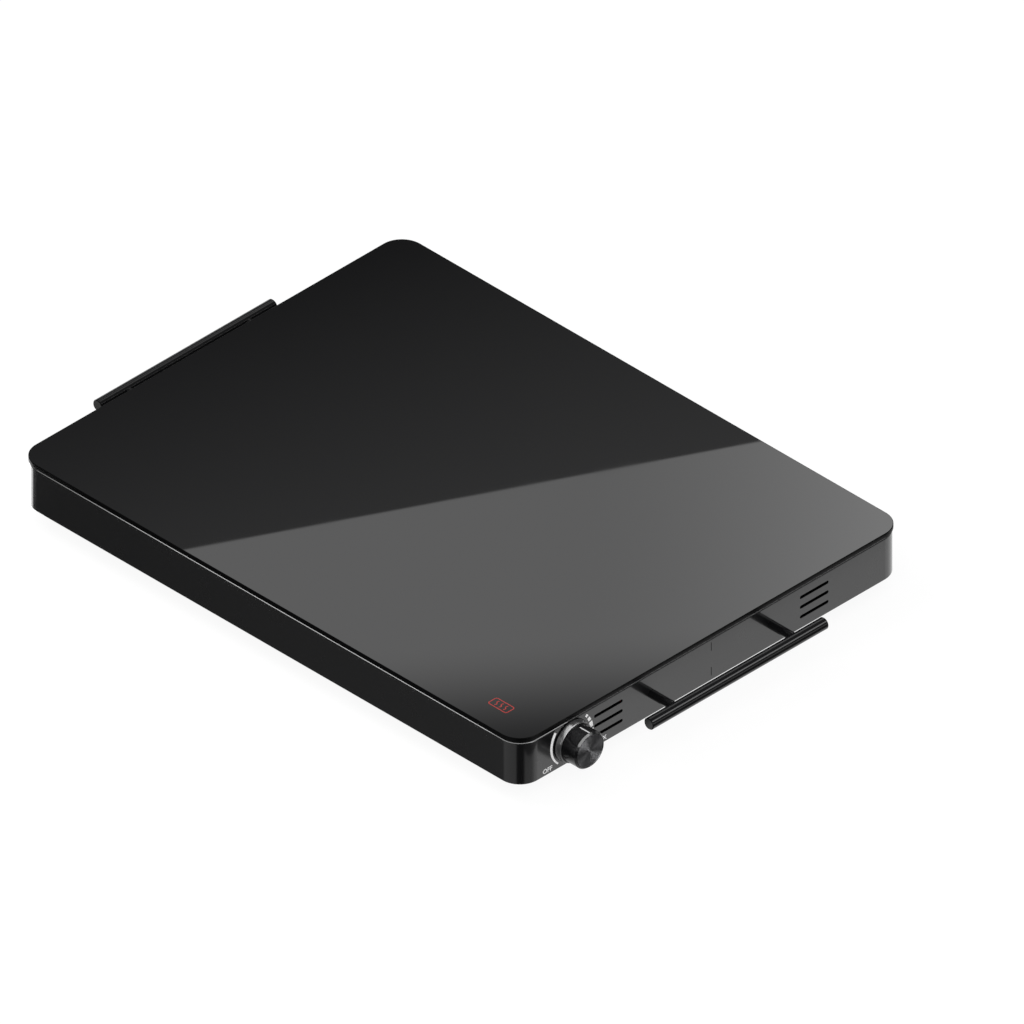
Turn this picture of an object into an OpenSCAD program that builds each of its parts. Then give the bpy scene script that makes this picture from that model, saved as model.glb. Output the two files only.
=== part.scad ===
// Electric food warmer tray: a black glass plate on a low steel frame, with a bar handle on each short side and
// one temperature knob on the right short side. Millimetres, +Z up, resting on Z = 0, long side along X.

/* [Glass top] */
// Length of the glass plate
glass_l = 536.4; // [500:0.2:600]
// Width of the glass plate
glass_w = 410.4; // [380:0.2:460]
// Thickness of the glass plate
glass_t = 4; // [3:0.5:6]
// Radius of the glass plate's corners
glass_corner_r = 19.5; // [18:0.5:26]
// Width of the polished arris round the glass
glass_arris = 0.5; // [0.4:0.1:1.2]
// Height of the glass surface above the table
tray_h = 61; // [58:0.5:66]
// How far the glass stands past the side frame
glass_overhang = 0.8; // [0.4:0.1:1.2]

/* [Side frame] */
// Height of the side frame
frame_h = 39.1; // [37.5:0.1:40.5]
// Thickness of the frame's sheet steel
frame_sheet = 1; // [0.8:0.1:1.2]
// Outside radius of the frame's bends
frame_bend_r = 1.4; // [1.4:0.1:2]
// How far the handles, vents and knob sit above the frame's middle
axis_rise = 0.6; // [0:0.1:1]
// Width of the flange under the glass
top_flange_w = 16; // [15.5:0.1:16.5]
// Width of the flange over the base pan
bottom_flange_w = 12; // [11:0.5:14]
// Thickness of the seal between frame and glass
seal_t = 0.8; // [0.6:0.1:1]
// Width of the seal
seal_w = 6; // [4:0.5:6]
// Distance from the frame's outside to the seal
seal_inset = 2.5; // [2:0.1:2.8]

/* [Vents and seam] */
// Length of a vent slot
vent_l = 30.6; // [24:0.2:32]
// Width of a vent slot
vent_w = 2.9; // [2:0.1:3.4]
// Distance between vent slots
vent_pitch = 9; // [8:0.5:10]
// Number of slots in a group
vent_rows = 3; // [1:1:3]
// Distance from the frame's long sides to the middle of the vents
vent_inset = 94.5; // [90:0.1:96]
// Height of each open slit in the frame's seam
seam_slit_h = 7.8; // [6:0.2:9]
// Width of the seam's slits
seam_slit_w = 0.6; // [0.4:0.1:1]
// Distance from the frame's edges to each slit's end
seam_slit_edge = 4.2; // [3.8:0.1:5]
// Width of the plate behind the seam
seam_plate_w = 24; // [18:1:30]
// Thickness of the plate behind the seam
seam_plate_t = 0.8; // [0.6:0.1:1]

/* [Handles] */
// Distance from the frame to a handle bar's axis
handle_reach = 26.9; // [24:0.1:40]
// Distance from the frame's long sides to a handle's ends
handle_inset = 110.5; // [108:0.1:120]
// Radius of a handle bar
handle_r = 5; // [4.5:0.1:6]
// Radius of a handle post
post_r = 3.7; // [3.5:0.1:4]
// Distance from a handle's ends to its posts
post_inset = 30; // [24:0.1:34]
// Radius of the tenon that joins a post to its bar
tenon_r = 2.2; // [2:0.1:2.5]
// Depth of the tenon in the bar
tenon_l = 3.5; // [3:0.1:4]

/* [Base and feet] */
// Thickness of the base pan
pan_t = 1; // [0.8:0.1:1.2]
// Distance from the frame's outside to the pan's edge
pan_inset = 4; // [3:0.5:5]
// Distance from the frame's short side to a foot's centre
foot_inset_x = 62; // [50:1:80]
// Distance from the frame's long side to a foot's centre
foot_inset_y = 58; // [45:1:70]
// Radius of a foot at the top
foot_r = 13; // [11:0.5:16]
// Radius of a foot where it stands
foot_base_r = 11; // [10:0.5:13]
// Radius of the recess in a foot
foot_recess_r = 5.6; // [5.2:0.1:6]

/* [Knob] */
// Distance from the frame's front to the knob's axis
knob_inset = 54.8; // [52:0.1:60]
// Gap between the frame and the knob's skirt
knob_gap = 1; // [0.3:0.1:1.5]
// Radius of the knob's skirt at the frame
skirt_r = 17.9; // [17.4:0.1:18.4]
// Radius of the skirt's front edge
skirt_front_r = 17.1; // [16.6:0.1:17.3]
// Distance from the frame to the skirt's front
skirt_h = 5.6; // [4.8:0.1:6.4]
// Radius of the knob's barrel
barrel_r = 15.7; // [15.2:0.1:16]
// Distance from the frame to the knob's end
knob_h = 20.5; // [19:0.1:23]
// Width of the bevel at the knob's end
knob_bevel = 1.4; // [1:0.1:2]
// Wall thickness of the knob
knob_wall = 1.9; // [1.6:0.1:2.4]
// Thickness of the spun metal cap
cap_t = 1.2; // [0.8:0.1:1.6]
// Width of the pointer line
pointer_w = 1.1; // [0.8:0.1:1.6]
// Distance from the frame to the start of the pointer line
pointer_start = 8.8; // [7:0.1:10]
// Angle of the pointer at rest, from the rear towards the top
pointer_angle = 88; // [0:1:180]

/* [Spindle and thermostat] */
// Radius of the spindle
spindle_r = 3; // [2.5:0.1:3.2]
// Running clearance round the spindle and the pin
running_gap = 0.05; // [0.03:0.01:0.1]
// Length of the spindle in the knob
spindle_grip = 13; // [10:0.5:14]
// Distance from the frame's outside to the thermostat bracket
bracket_setback = 19; // [18:0.5:22]
// Thickness of the thermostat bracket
bracket_t = 1.2; // [1:0.1:1.6]
// Distance between the spindle and the blade stack
stack_offset = 22; // [20:0.5:24]
// Radius of the stack's ceramic rings
ring_r = 6; // [5.2:0.1:6.4]
// Thickness of a contact blade
blade_t = 0.5; // [0.4:0.05:0.6]
// Width of a contact blade
blade_w = 7; // [6:0.5:8]
// Thickness of the bimetal blade
bimetal_t = 0.8; // [0.6:0.1:1]
// Radius of the adjusting pin
pin_r = 1.5; // [1.2:0.1:1.8]
// How far the pin can slide from rest to either side
pin_travel = 0.55; // [0.5:0.01:0.6]

/* [Heating stack] */
// Distance from the frame's short sides to the heat spreader
spreader_inset_x = 27.2; // [26:0.2:32]
// Distance from the frame's long sides to the heat spreader
spreader_inset_y = 36.2; // [35:0.2:44]
// Thickness of the heat spreader
spreader_t = 1; // [0.8:0.1:1.2]
// Margin of the spreader past the mica sheets
mica_margin = 12; // [11:0.5:14]
// Thickness of the upper mica sheet
upper_mica_t = 0.5; // [0.4:0.1:0.6]
// Thickness of the lower mica sheet
lower_mica_t = 0.8; // [0.6:0.1:1]
// Thickness of the heater ribbon
ribbon_t = 0.4; // [0.3:0.1:0.5]
// Width of the heater ribbon
ribbon_w = 6; // [4:0.5:8]
// Distance from the mica's edge to the heater's outer run
ribbon_edge = 12; // [8:0.5:16]
// Thickness of the insulation blanket
blanket_t = 10.2; // [9:0.2:11]
// Thickness of the insulation tray's sheet
tray_sheet = 0.6; // [0.5:0.1:0.8]
// Width of a clamp bar
bar_w = 20; // [16:1:26]
// Thickness of a clamp bar
bar_t = 1.2; // [1:0.1:1.6]
// Place of the clamp bars, as a share of the spreader's half length
bar_x_share = 0.46; // [0.3:0.02:0.6]

/* [Indicator] */
// Distance from the glass's right edge to the legend's middle
legend_inset_x = 46.2; // [45:0.1:48]
// Distance from the glass's front edge to the legend's middle
legend_inset_y = 26.4; // [26:0.1:27]
// Length of the lit legend
legend_l = 21.7; // [18:0.1:22]
// Width of the lit legend
legend_w = 11.7; // [10:0.1:12]
// Thickness of the legend film
film_t = 0.3; // [0.2:0.05:0.4]
// Wall thickness of the lamp housing
lamp_wall = 1.5; // [1.2:0.1:1.8]
// Depth of the lamp housing
lamp_depth = 13; // [12:0.5:14]

/* [Cord gland and wiring] */
// Distance from the frame's rear side to the cord gland
gland_inset = 54.4; // [44:0.2:64]
// Radius of the gland's bore
gland_bore_r = 4.3; // [4:0.1:5]
// Radius of the gland's threaded neck
gland_neck_r = 8; // [7.5:0.1:8.5]
// Radius of the gland's outer collar
gland_collar_r = 11; // [10.5:0.5:13]
// How far the gland stands out
gland_reach = 12; // [8:1:16]
// Radius of an internal lead
lead_r = 1.2; // [0.9:0.1:1.3]
// Distance between the ways of the terminal block
way_pitch = 8.5; // [8:0.5:10]

/* [Hidden] */
$fn = 48;

// Overrun of every cut, and the fits
cut = 1;
thread_gap = 0.02;
hole_gap = 0.25;
seat_gap = 0.05;
travel_gap = 0.25;

// Levels and walls of the casing
glass_z = tray_h - glass_t;
frame_l = glass_l - 2 * glass_overhang;
frame_w = glass_w - 2 * glass_overhang;
frame_corner_r = glass_corner_r - glass_overhang;
frame_top = glass_z - seal_t;
frame_bottom = frame_top - frame_h;
axis_z = frame_bottom + frame_h / 2 + axis_rise;
wall_x = frame_l / 2;
wall_y = frame_w / 2;
inner_x = wall_x - frame_sheet;
pan_bottom = frame_bottom - pan_t;
pan_l = frame_l - 2 * pan_inset;
pan_w = frame_w - 2 * pan_inset;

// Handles, vents and seam
vent_y = wall_y - vent_inset;
handle_l = frame_w - 2 * handle_inset;
post_spacing = handle_l - 2 * post_inset;
bar_centre_x = wall_x + handle_reach;
seam_slit_z = (frame_h - seam_slit_h) / 2 - seam_slit_edge;
seam_plate_gap = 1.8;
seam_plate_h = frame_h - 2 * (frame_bend_r + seam_plate_gap);
bar_end_bevel = 0.7;

// Machine screws: radii of shank and head, height of head
m4_r = 1.95;
m4_head_r = 4;
m4_head_h = 2.4;
m3_r = 1.45;
m3_head_r = 2.8;
m3_head_h = 1.8;
recess_share = 0.6;
recess_w_share = 0.17;
head_round_share = 0.45;
handle_screw_l = 16;
washer_r = 5;
washer_t = 0.8;

// Base screws stand in the middle of the lower flange
base_screw_l = 5;
base_screw_inset = 7.5;
base_screw_x_shares = [-0.86, -0.3, 0.3, 0.86];
base_screw_y_shares = [-0.5, 0.5];

// Vents in the base pan
pan_vent_l = 46;
pan_vent_w = 3.2;
pan_vent_pitch = 9;
pan_vent_count = 7;
pan_vent_x = 120;

// Feet
foot_x = wall_x - foot_inset_x;
foot_y = wall_y - foot_inset_y;
foot_seat_z = 7;
foot_round = 1.6;
foot_screw_l = 14;
foot_nut_r = 4;
foot_nut_h = 3.2;

// Knob
knob_y = -wall_y + knob_inset;
knob_end_r = barrel_r - knob_bevel;
cap_rim = 0.35;
cap_dish = 0.35;
boss_r = 5;
boss_start = 2.2;
skirt_cavity_h = 3.4;
skirt_bevel = 0.4;
pointer_depth = 0.5;
pointer_end_gap = 0.25;
clip_t = 0.5;
clip_h = 5;
clip_opening = 60;
spindle_hole_r = 4.2;
spindle_flat_share = 0.75;
spindle_collar_r = 4.4;
spindle_collar_t = 1.2;

// Thermostat, counted along the knob's axis from the frame's outside, negative inwards
bracket_out = -bracket_setback;
bracket_in = bracket_out - bracket_t;
bushing_r = 5;
bushing_flange_r = 7;
bushing_flange_t = 1.5;
bushing_reach = 8;
bushing_tail = 6;
bushing_end_t = 4;
bushing_out = bracket_out + bushing_reach;
bushing_in = bracket_in - bushing_tail;
pin_seat = bushing_in + bushing_end_t;
pin_head_r = 2.6;
pin_head_t = 0.5;
pin_stem_l = 6;
pin_head_in = pin_seat + pin_travel + travel_gap;
spindle_in = pin_head_in + pin_head_t + pin_travel + travel_gap;
nut_r = 8;
nut_h = 3.5;
top_ring_h = 8;
mid_ring_h = 2;
low_ring_h = 4;
end_ring_h = 3;
top_blade_at = bracket_in - top_ring_h;
mid_blade_at = top_blade_at - blade_t - mid_ring_h;
bimetal_at = mid_blade_at - blade_t - low_ring_h;
stack_end = bimetal_at - bimetal_t - end_ring_h;
pin_tip = top_blade_at + pin_travel + travel_gap;
stack_y = knob_y + stack_offset;
rivet_r = 2;
rivet_head_r = 3.6;
rivet_head_t = 1.2;
blade_reach = 4;
blade_tab_l = 18;
blade_tab_w = 3.5;
tab_lift = 3;
point_r = 1.5;
contact_gap = 0.3;
point_at_share = 0.45;
bracket_margin = 12;
bracket_drop = 14;
bracket_tab_x = 10;
tab_rivet_r = 1.5;
tab_rivet_head_r = 2.6;
tab_rivet_y = 13;

// Heating stack, counted down from the glass
spreader_l = frame_l - 2 * spreader_inset_x;
spreader_w = frame_w - 2 * spreader_inset_y;
spreader_z = glass_z - spreader_t;
upper_mica_z = spreader_z - upper_mica_t;
ribbon_z = upper_mica_z - ribbon_t;
lower_mica_z = ribbon_z - lower_mica_t;
insulation_z = lower_mica_z - blanket_t;
tray_z = insulation_z - tray_sheet;
bar_z = tray_z - bar_t;
mica_side_margin = 8;
mica_l = spreader_l - 2 * mica_margin;
mica_w = spreader_w - 2 * mica_side_margin;
mica_tab_l = 10;
mica_tab_w = 16;
stack_margin_x = 6;
stack_margin_y = 4;
stack_l = mica_l - 2 * stack_margin_x;
stack_w = mica_w - 2 * stack_margin_y;
stack_corner_r = 6;
ribbon_runs = 5;
ribbon_first_y = 20;
ribbon_pitch = (mica_w / 2 - ribbon_edge - ribbon_first_y) / (ribbon_runs - 1);
ribbon_end_margin = 20;
ribbon_tail = 8;
ribbon_end_x = mica_l / 2 - ribbon_end_margin;
ribbon_tail_x = mica_l / 2 + ribbon_tail;
terminal_t = 0.8;
terminal_w = 7;
terminal_drop = 11;
bar_x = bar_x_share * spreader_l / 2;
bar_leg_gap = 10;
bar_leg_y = spreader_w / 2 + bar_leg_gap;
tab_end_gap = 4;
tab_end_y = wall_y - frame_sheet - tab_end_gap;
flange_screw_inset = 12;
flange_screw_y = wall_y - flange_screw_inset;
flange_screw_l = 2.4;

// Thermal fuse under the spreader's right margin
fuse_r = 2;
fuse_l = 11;
fuse_y = 90;
fuse_edge = 6;
fuse_x = spreader_l / 2 - fuse_edge;
fuse_z = spreader_z - fuse_r - seat_gap;
fuse_clip_t = 0.7;
fuse_clip_l = 6;
fuse_tab = 3;

// Indicator
legend_x = glass_l / 2 - legend_inset_x;
legend_y = -glass_w / 2 + legend_inset_y;
legend_r = 2.5;
film_z = glass_z - film_t;
lamp_margin = 1;
lamp_l = legend_l + 2 * (lamp_wall + lamp_margin);
lamp_w = legend_w + 2 * lamp_wall;
lamp_z = film_z - lamp_depth;
lug_w = 10;
lug_t = 2;
bulb_r = 2.4;
bulb_l = 9;
bulb_spacing = 10;

// Cord gland and terminal block
gland_y = wall_y - gland_inset;
gland_neck_l = 7;
gland_nut_h = 5;
gland_nut_r = 12;
gland_dome_r = 9.4;
gland_lip = 0.5;
gland_collar_t = 4;
block_inset = 34;
block_x = -wall_x + block_inset;
block_rear_inset = 84.2;
block_y = wall_y - block_rear_inset;
block_w = 20;
block_h = 14;
block_ways = 5;
way_r = 1.8;
way_depth = 6;
way_z = 6;
way_screw_r = 2;
way_screw_h = 3;
way_screw_offset = 4;
earth_inset = 32;
earth_gap = 50;
earth_x = -wall_x + earth_inset;
earth_y = block_y - earth_gap;
earth_screw_l = 2.5;

// Internal leads: each leaves the block's fan, then X and Y are shares of the walls' places and the height
// over the pan is a share of the frame's
lead_sides = 8;
lead_steps = 3;
lead_clear = 0.5;
lead_straight = 10;
steep_share = 0.7;
lead_lie = frame_bottom + lead_r + lead_clear;
fan_near = [27, -4];
fan_far = [53, -25];
earth_turn = 26;
neutral_shares = [
    [-0.56, 0.4, 0], [-0.45, 0.304, 0], [-0.15, 0.304, 0], [0.19, 0.304, 0], [0.52, 0.304, 0],
    [0.69, 0.225, 0], [0.77, 0.07, 0], [0.845, -0.04, 0.05], [0.925, -0.088, 0.28], [0.957, -0.098, 0.54]
];
live_shares = [
    [-0.56, 0.362, 0], [-0.44, 0.274, 0], [-0.15, 0.274, 0], [0.19, 0.274, 0], [0.494, 0.274, 0],
    [0.636, 0.225, 0], [0.696, 0.098, 0], [0.711, -0.098, 0], [0.741, -0.274, 0.03],
    [0.805, -0.392, 0.23], [0.872, -0.445, 0.47]
];
inner_lamp_shares = [
    [-0.56, 0.328, 0], [-0.44, 0.245, 0], [-0.15, 0.245, 0], [0.19, 0.245, 0], [0.468, 0.245, 0],
    [0.588, 0.206, 0], [0.647, 0.088, 0], [0.659, -0.098, 0], [0.659, -0.49, 0], [0.677, -0.676, 0],
    [0.73, -0.784, 0], [0.79, -0.852, 0.08]
];
outer_lamp_shares = [
    [-0.569, 0.289, 0], [-0.44, 0.215, 0], [-0.15, 0.215, 0], [0.19, 0.215, 0], [0.442, 0.215, 0],
    [0.55, 0.181, 0], [0.606, 0.078, 0], [0.621, -0.098, 0], [0.621, -0.49, 0], [0.632, -0.686, 0],
    [0.681, -0.823, 0], [0.763, -0.901, 0.01], [0.827, -0.911, 0.13], [0.849, -0.886, 0.31]
];
switched_shares = [
    [0.898, -0.44, 0.31], [0.936, -0.343, 0.15], [0.969, -0.22, 0.075], [0.973, 0, 0.075],
    [0.973, 0.22, 0.1], [0.969, 0.39, 0.23], [0.951, 0.52, 0.54], [0.913, 0.568, 0.8]
];
fuse_shares = [
    [0.951, 0.127, 0.732], [0.951, 0.196, 0.796], [0.924, 0.284, 0.861], [0.887, 0.333, 0.898]
];

// Plan shapes
module round_plan(l, w, r) {
    square([l - 2 * r, w], center = true);
    square([l, w - 2 * r], center = true);
    for (x = [-1, 1], y = [-1, 1]) translate([x * (l / 2 - r), y * (w / 2 - r)]) circle(r);
}

module round_plate(l, w, r, t) {
    linear_extrude(t) round_plan(l, w, r);
}

// Carries a section round a rectangle with round corners: x = 0 is the outline, y is the height
module swept_round(l, w, r) {
    for (side = [0, 180]) rotate(side) {
        translate([l / 2, w / 2 - r, 0]) rotate([90, 0, 0]) linear_extrude(w - 2 * r) children();
        translate([l / 2 - r, w / 2 - r, 0]) rotate_extrude(angle = 90) translate([r, 0]) children();
        translate([-l / 2 + r, w / 2, 0]) rotate([90, 0, 90]) linear_extrude(l - 2 * r) children();
        translate([-l / 2 + r, w / 2 - r, 0]) rotate([0, 0, 90]) rotate_extrude(angle = 90)
            translate([r, 0]) children();
    }
}

// Fasteners, drawn with the head's seat on Z = 0 and the shank upwards
module pan_screw(shank_r, head_r, head_h, shank_l) {
    difference() {
        union() {
            rotate_extrude() polygon([
                [0, 0], [head_r, 0], [head_r, -head_h * (1 - head_round_share)],
                [head_r * (1 - head_round_share), -head_h], [0, -head_h]
            ]);
            cylinder(h = shank_l, r = shank_r);
        }
        for (turn = [0, 90]) rotate(turn)
            translate([-head_r * recess_share, -head_r * recess_w_share, -head_h - cut])
                cube([2 * head_r * recess_share, 2 * head_r * recess_w_share, head_h / 2 + cut]);
    }
}

module hex_nut(r, h, bore_r) {
    difference() {
        cylinder(h = h, r = r, $fn = 6);
        translate([0, 0, -cut]) cylinder(h = h + 2 * cut, r = bore_r);
    }
}

module washer(r, hole_r, t) {
    difference() {
        cylinder(h = t, r = r);
        translate([0, 0, -cut]) cylinder(h = t + 2 * cut, r = hole_r);
    }
}

// Glass and seal
module glass_top() {
    color("#17181a") translate([0, 0, glass_z]) difference() {
        round_plate(glass_l, glass_w, glass_corner_r, glass_t);
        for (top = [0, 1]) translate([0, 0, top * glass_t]) mirror([0, 0, top])
            swept_round(glass_l, glass_w, glass_corner_r)
                polygon([[-glass_arris, -cut], [cut, -cut], [cut, glass_arris + cut], [0, glass_arris],
                    [-glass_arris, 0]]);
    }
}

module glass_seal() {
    color("#3a3a3a") translate([0, 0, frame_top]) difference() {
        round_plate(frame_l - 2 * seal_inset, frame_w - 2 * seal_inset, frame_corner_r - seal_inset, seal_t);
        translate([0, 0, -cut])
            round_plate(frame_l - 2 * (seal_inset + seal_w), frame_w - 2 * (seal_inset + seal_w),
                frame_corner_r - seal_inset - seal_w, seal_t + 2 * cut);
    }
}

// A filled section with two round corners on its outer side
module bent_section(depth, low, high, r) {
    translate([-depth, low]) square([depth - r, high - low]);
    translate([-r - r / 2, low + r]) square([r + r / 2, high - low - 2 * r]);
    for (y = [low + r, high - r]) translate([-r, y]) circle(r);
}

module frame_section() {
    difference() {
        bent_section(top_flange_w, frame_bottom, frame_top, frame_bend_r);
        translate([-frame_sheet, 0])
            bent_section(top_flange_w, frame_bottom + frame_sheet, frame_top - frame_sheet,
                frame_bend_r - frame_sheet);
        translate([-top_flange_w - cut, frame_bottom - cut])
            square([top_flange_w + cut - bottom_flange_w, frame_sheet + 2 * cut]);
    }
}

module vent_slot() {
    for (y = [-1, 1]) translate([0, y * (vent_l - vent_w) / 2, 0]) rotate([0, 90, 0])
        cylinder(h = frame_sheet + 2 * cut, r = vent_w / 2);
    translate([0, -(vent_l - vent_w) / 2, -vent_w / 2])
        cube([frame_sheet + 2 * cut, vent_l - vent_w, vent_w]);
}

module vent_groups() {
    for (y = [-vent_y, vent_y], row = [0:vent_rows - 1])
        translate([inner_x - cut, y, axis_z + (row - (vent_rows - 1) / 2) * vent_pitch]) vent_slot();
}

module wall_hole(y, r) {
    translate([inner_x - cut, y, axis_z]) rotate([0, 90, 0]) cylinder(h = frame_sheet + 2 * cut, r = r);
}

module at_base_screws() {
    for (x = base_screw_x_shares, y = [-1, 1])
        translate([x * wall_x, y * (wall_y - base_screw_inset), pan_bottom]) children();
    for (x = [-1, 1], y = base_screw_y_shares)
        translate([x * (wall_x - base_screw_inset), y * wall_y, pan_bottom]) children();
}

module at_clamp_screws() {
    for (x = [-bar_x, bar_x], y = [-flange_screw_y, flange_screw_y]) translate([x, y, 0]) children();
}

module side_frame() {
    color("#26272a") difference() {
        swept_round(frame_l, frame_w, frame_corner_r) frame_section();
        for (side = [0, 180]) rotate(side) {
            vent_groups();
            for (y = [-1, 1]) wall_hole(y * post_spacing / 2, m4_r + hole_gap);
        }
        wall_hole(knob_y, spindle_hole_r);
        rotate(180) wall_hole(-gland_y, gland_neck_r + hole_gap);
        for (z = [-seam_slit_z, seam_slit_z])
            translate([inner_x - cut, -seam_slit_w / 2, axis_z + z - seam_slit_h / 2])
                cube([frame_sheet + 2 * cut, seam_slit_w, seam_slit_h]);
        at_base_screws() cylinder(h = frame_sheet + pan_t + cut, r = m3_r + thread_gap);
        at_clamp_screws() translate([0, 0, frame_top - frame_sheet - cut])
            cylinder(h = frame_sheet + 2 * cut, r = m3_r + thread_gap);
        translate([legend_x, -flange_screw_y, frame_top - frame_sheet - cut])
            cylinder(h = frame_sheet + 2 * cut, r = m3_r + thread_gap);
    }
}

module seam_plate() {
    color("#3b3c3f") translate([inner_x - seam_plate_t, -seam_plate_w / 2, axis_z - seam_plate_h / 2])
        cube([seam_plate_t, seam_plate_w, seam_plate_h]);
}

// Base and feet
module at_feet() {
    for (x = [-foot_x, foot_x], y = [-foot_y, foot_y]) translate([x, y, 0]) children();
}

module pan_vents() {
    for (side = [-1, 1], i = [0:pan_vent_count - 1])
        translate([side * pan_vent_x + (i - (pan_vent_count - 1) / 2) * pan_vent_pitch, 0, -cut]) {
            translate([-pan_vent_w / 2, -(pan_vent_l - pan_vent_w) / 2, 0])
                cube([pan_vent_w, pan_vent_l - pan_vent_w, pan_t + 2 * cut]);
            for (y = [-1, 1]) translate([0, y * (pan_vent_l - pan_vent_w) / 2, 0])
                cylinder(h = pan_t + 2 * cut, r = pan_vent_w / 2);
        }
}

module at_block_screws() {
    for (y = [-1, 1]) translate([block_x, block_y + y * way_pitch / 2, 0]) children();
}

module base_pan() {
    color("#2a2b2d") difference() {
        translate([0, 0, pan_bottom]) difference() {
            round_plate(pan_l, pan_w, frame_corner_r - pan_inset, pan_t);
            pan_vents();
        }
        at_base_screws() translate([0, 0, -cut]) cylinder(h = pan_t + 2 * cut, r = m3_r + hole_gap);
        at_feet() translate([0, 0, pan_bottom - cut]) cylinder(h = pan_t + 2 * cut, r = m4_r + hole_gap);
        at_block_screws() translate([0, 0, pan_bottom - cut])
            cylinder(h = pan_t + 2 * cut, r = m3_r + thread_gap);
        translate([earth_x, earth_y, pan_bottom - cut])
            cylinder(h = pan_t + 2 * cut, r = m4_r + thread_gap);
    }
}

module base_screws() {
    color("silver") at_base_screws() pan_screw(m3_r, m3_head_r, m3_head_h, base_screw_l);
}

module rubber_feet() {
    color("#1c1c1c") at_feet() difference() {
        rotate_extrude() polygon([
            [0, 0], [foot_base_r - foot_round, 0], [foot_base_r, foot_round],
            [foot_r, pan_bottom], [0, pan_bottom]
        ]);
        translate([0, 0, -cut]) cylinder(h = foot_seat_z + cut, r = foot_recess_r);
        cylinder(h = pan_bottom + cut, r = m4_r + hole_gap);
    }
}

module foot_washers() {
    color("silver") at_feet() translate([0, 0, foot_seat_z - washer_t])
        washer(washer_r, m4_r + hole_gap, washer_t);
}

module foot_screws() {
    color("silver") at_feet() translate([0, 0, foot_seat_z - washer_t])
        pan_screw(m4_r, m4_head_r, m4_head_h, foot_screw_l);
}

module foot_nuts() {
    color("silver") at_feet() translate([0, 0, frame_bottom])
        hex_nut(foot_nut_r, foot_nut_h, m4_r + thread_gap);
}

// Handles, drawn for the right side and turned round for the left
module handle_bar() {
    half = handle_l / 2;
    color("#1a1b1d") difference() {
        translate([bar_centre_x, 0, axis_z]) rotate([90, 0, 0]) rotate_extrude() polygon([
            [0, -half], [handle_r - bar_end_bevel, -half], [handle_r, -half + bar_end_bevel],
            [handle_r, half - bar_end_bevel], [handle_r - bar_end_bevel, half], [0, half]
        ]);
        for (y = [-1, 1]) translate([bar_centre_x - handle_r - cut, y * post_spacing / 2, axis_z])
            rotate([0, 90, 0]) cylinder(h = tenon_l + seat_gap + cut, r = tenon_r + seat_gap);
    }
}

module handle_posts() {
    color("#1a1b1d") for (y = [-1, 1]) difference() {
        translate([wall_x, y * post_spacing / 2, axis_z]) rotate([0, 90, 0]) union() {
            difference() {
                cylinder(h = bar_centre_x - wall_x, r = post_r);
                translate([0, 0, bar_centre_x - wall_x]) rotate([90, 0, 0])
                    cylinder(h = 4 * post_r, r = handle_r + seat_gap, center = true);
            }
            translate([0, 0, bar_centre_x - wall_x - handle_r - tenon_l])
                cylinder(h = 2 * tenon_l, r = tenon_r);
        }
        translate([wall_x - cut, y * post_spacing / 2, axis_z]) rotate([0, 90, 0])
            cylinder(h = handle_screw_l + cut, r = m4_r + thread_gap);
    }
}

module left_handle_bar() {
    rotate(180) handle_bar();
}

module left_handle_posts() {
    rotate(180) handle_posts();
}

module right_handle_bar() {
    handle_bar();
}

module right_handle_posts() {
    handle_posts();
}

module at_handle_screws(back) {
    for (side = [0, 180], y = [-1, 1]) rotate(side)
        translate([inner_x - back, y * post_spacing / 2, axis_z]) rotate([0, 90, 0]) children();
}

module handle_screws() {
    color("silver") at_handle_screws(washer_t) pan_screw(m4_r, m4_head_r, m4_head_h, handle_screw_l);
}

module handle_washers() {
    color("silver") at_handle_screws(washer_t) washer(washer_r, m4_r + hole_gap, washer_t);
}

// Heating stack
module heat_spreader() {
    color("#b9bcc0") difference() {
        translate([0, 0, spreader_z]) round_plate(spreader_l, spreader_w, stack_corner_r, spreader_t);
        at_tab_rivets() cylinder(h = spreader_t + bracket_t + 2 * cut, r = tab_rivet_r + thread_gap);
    }
}

module mica_plan(tabs) {
    square([mica_l, mica_w], center = true);
    if (tabs) for (y = [-ribbon_first_y, ribbon_first_y])
        translate([mica_l / 2 - mica_tab_l, y - mica_tab_w / 2]) square([2 * mica_tab_l, mica_tab_w]);
}

module upper_mica_sheet() {
    color("#c9a86a") translate([0, 0, upper_mica_z]) linear_extrude(upper_mica_t) mica_plan(true);
}

module lower_mica_sheet() {
    color("#c9a86a") translate([0, 0, lower_mica_z]) linear_extrude(lower_mica_t) mica_plan(false);
}

module ribbon_run(x0, x1, y) {
    translate([x0 - ribbon_w / 2, y - ribbon_w / 2]) square([x1 - x0 + ribbon_w, ribbon_w]);
}

module ribbon_turn(x, y0, y1) {
    translate([x - ribbon_w / 2, y0 - ribbon_w / 2]) square([ribbon_w, y1 - y0 + ribbon_w]);
}

module half_ribbon() {
    last = ribbon_runs - 1;
    for (i = [0:last]) {
        right = i == 0 ? ribbon_tail_x : ribbon_end_x;
        left = i == last ? -ribbon_end_x - 2 * ribbon_w : -ribbon_end_x;
        ribbon_run(left, right, ribbon_first_y + i * ribbon_pitch);
    }
    for (i = [0:last - 1])
        ribbon_turn(i % 2 == 0 ? -ribbon_end_x : ribbon_end_x, ribbon_first_y + i * ribbon_pitch,
            ribbon_first_y + (i + 1) * ribbon_pitch);
}

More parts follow.
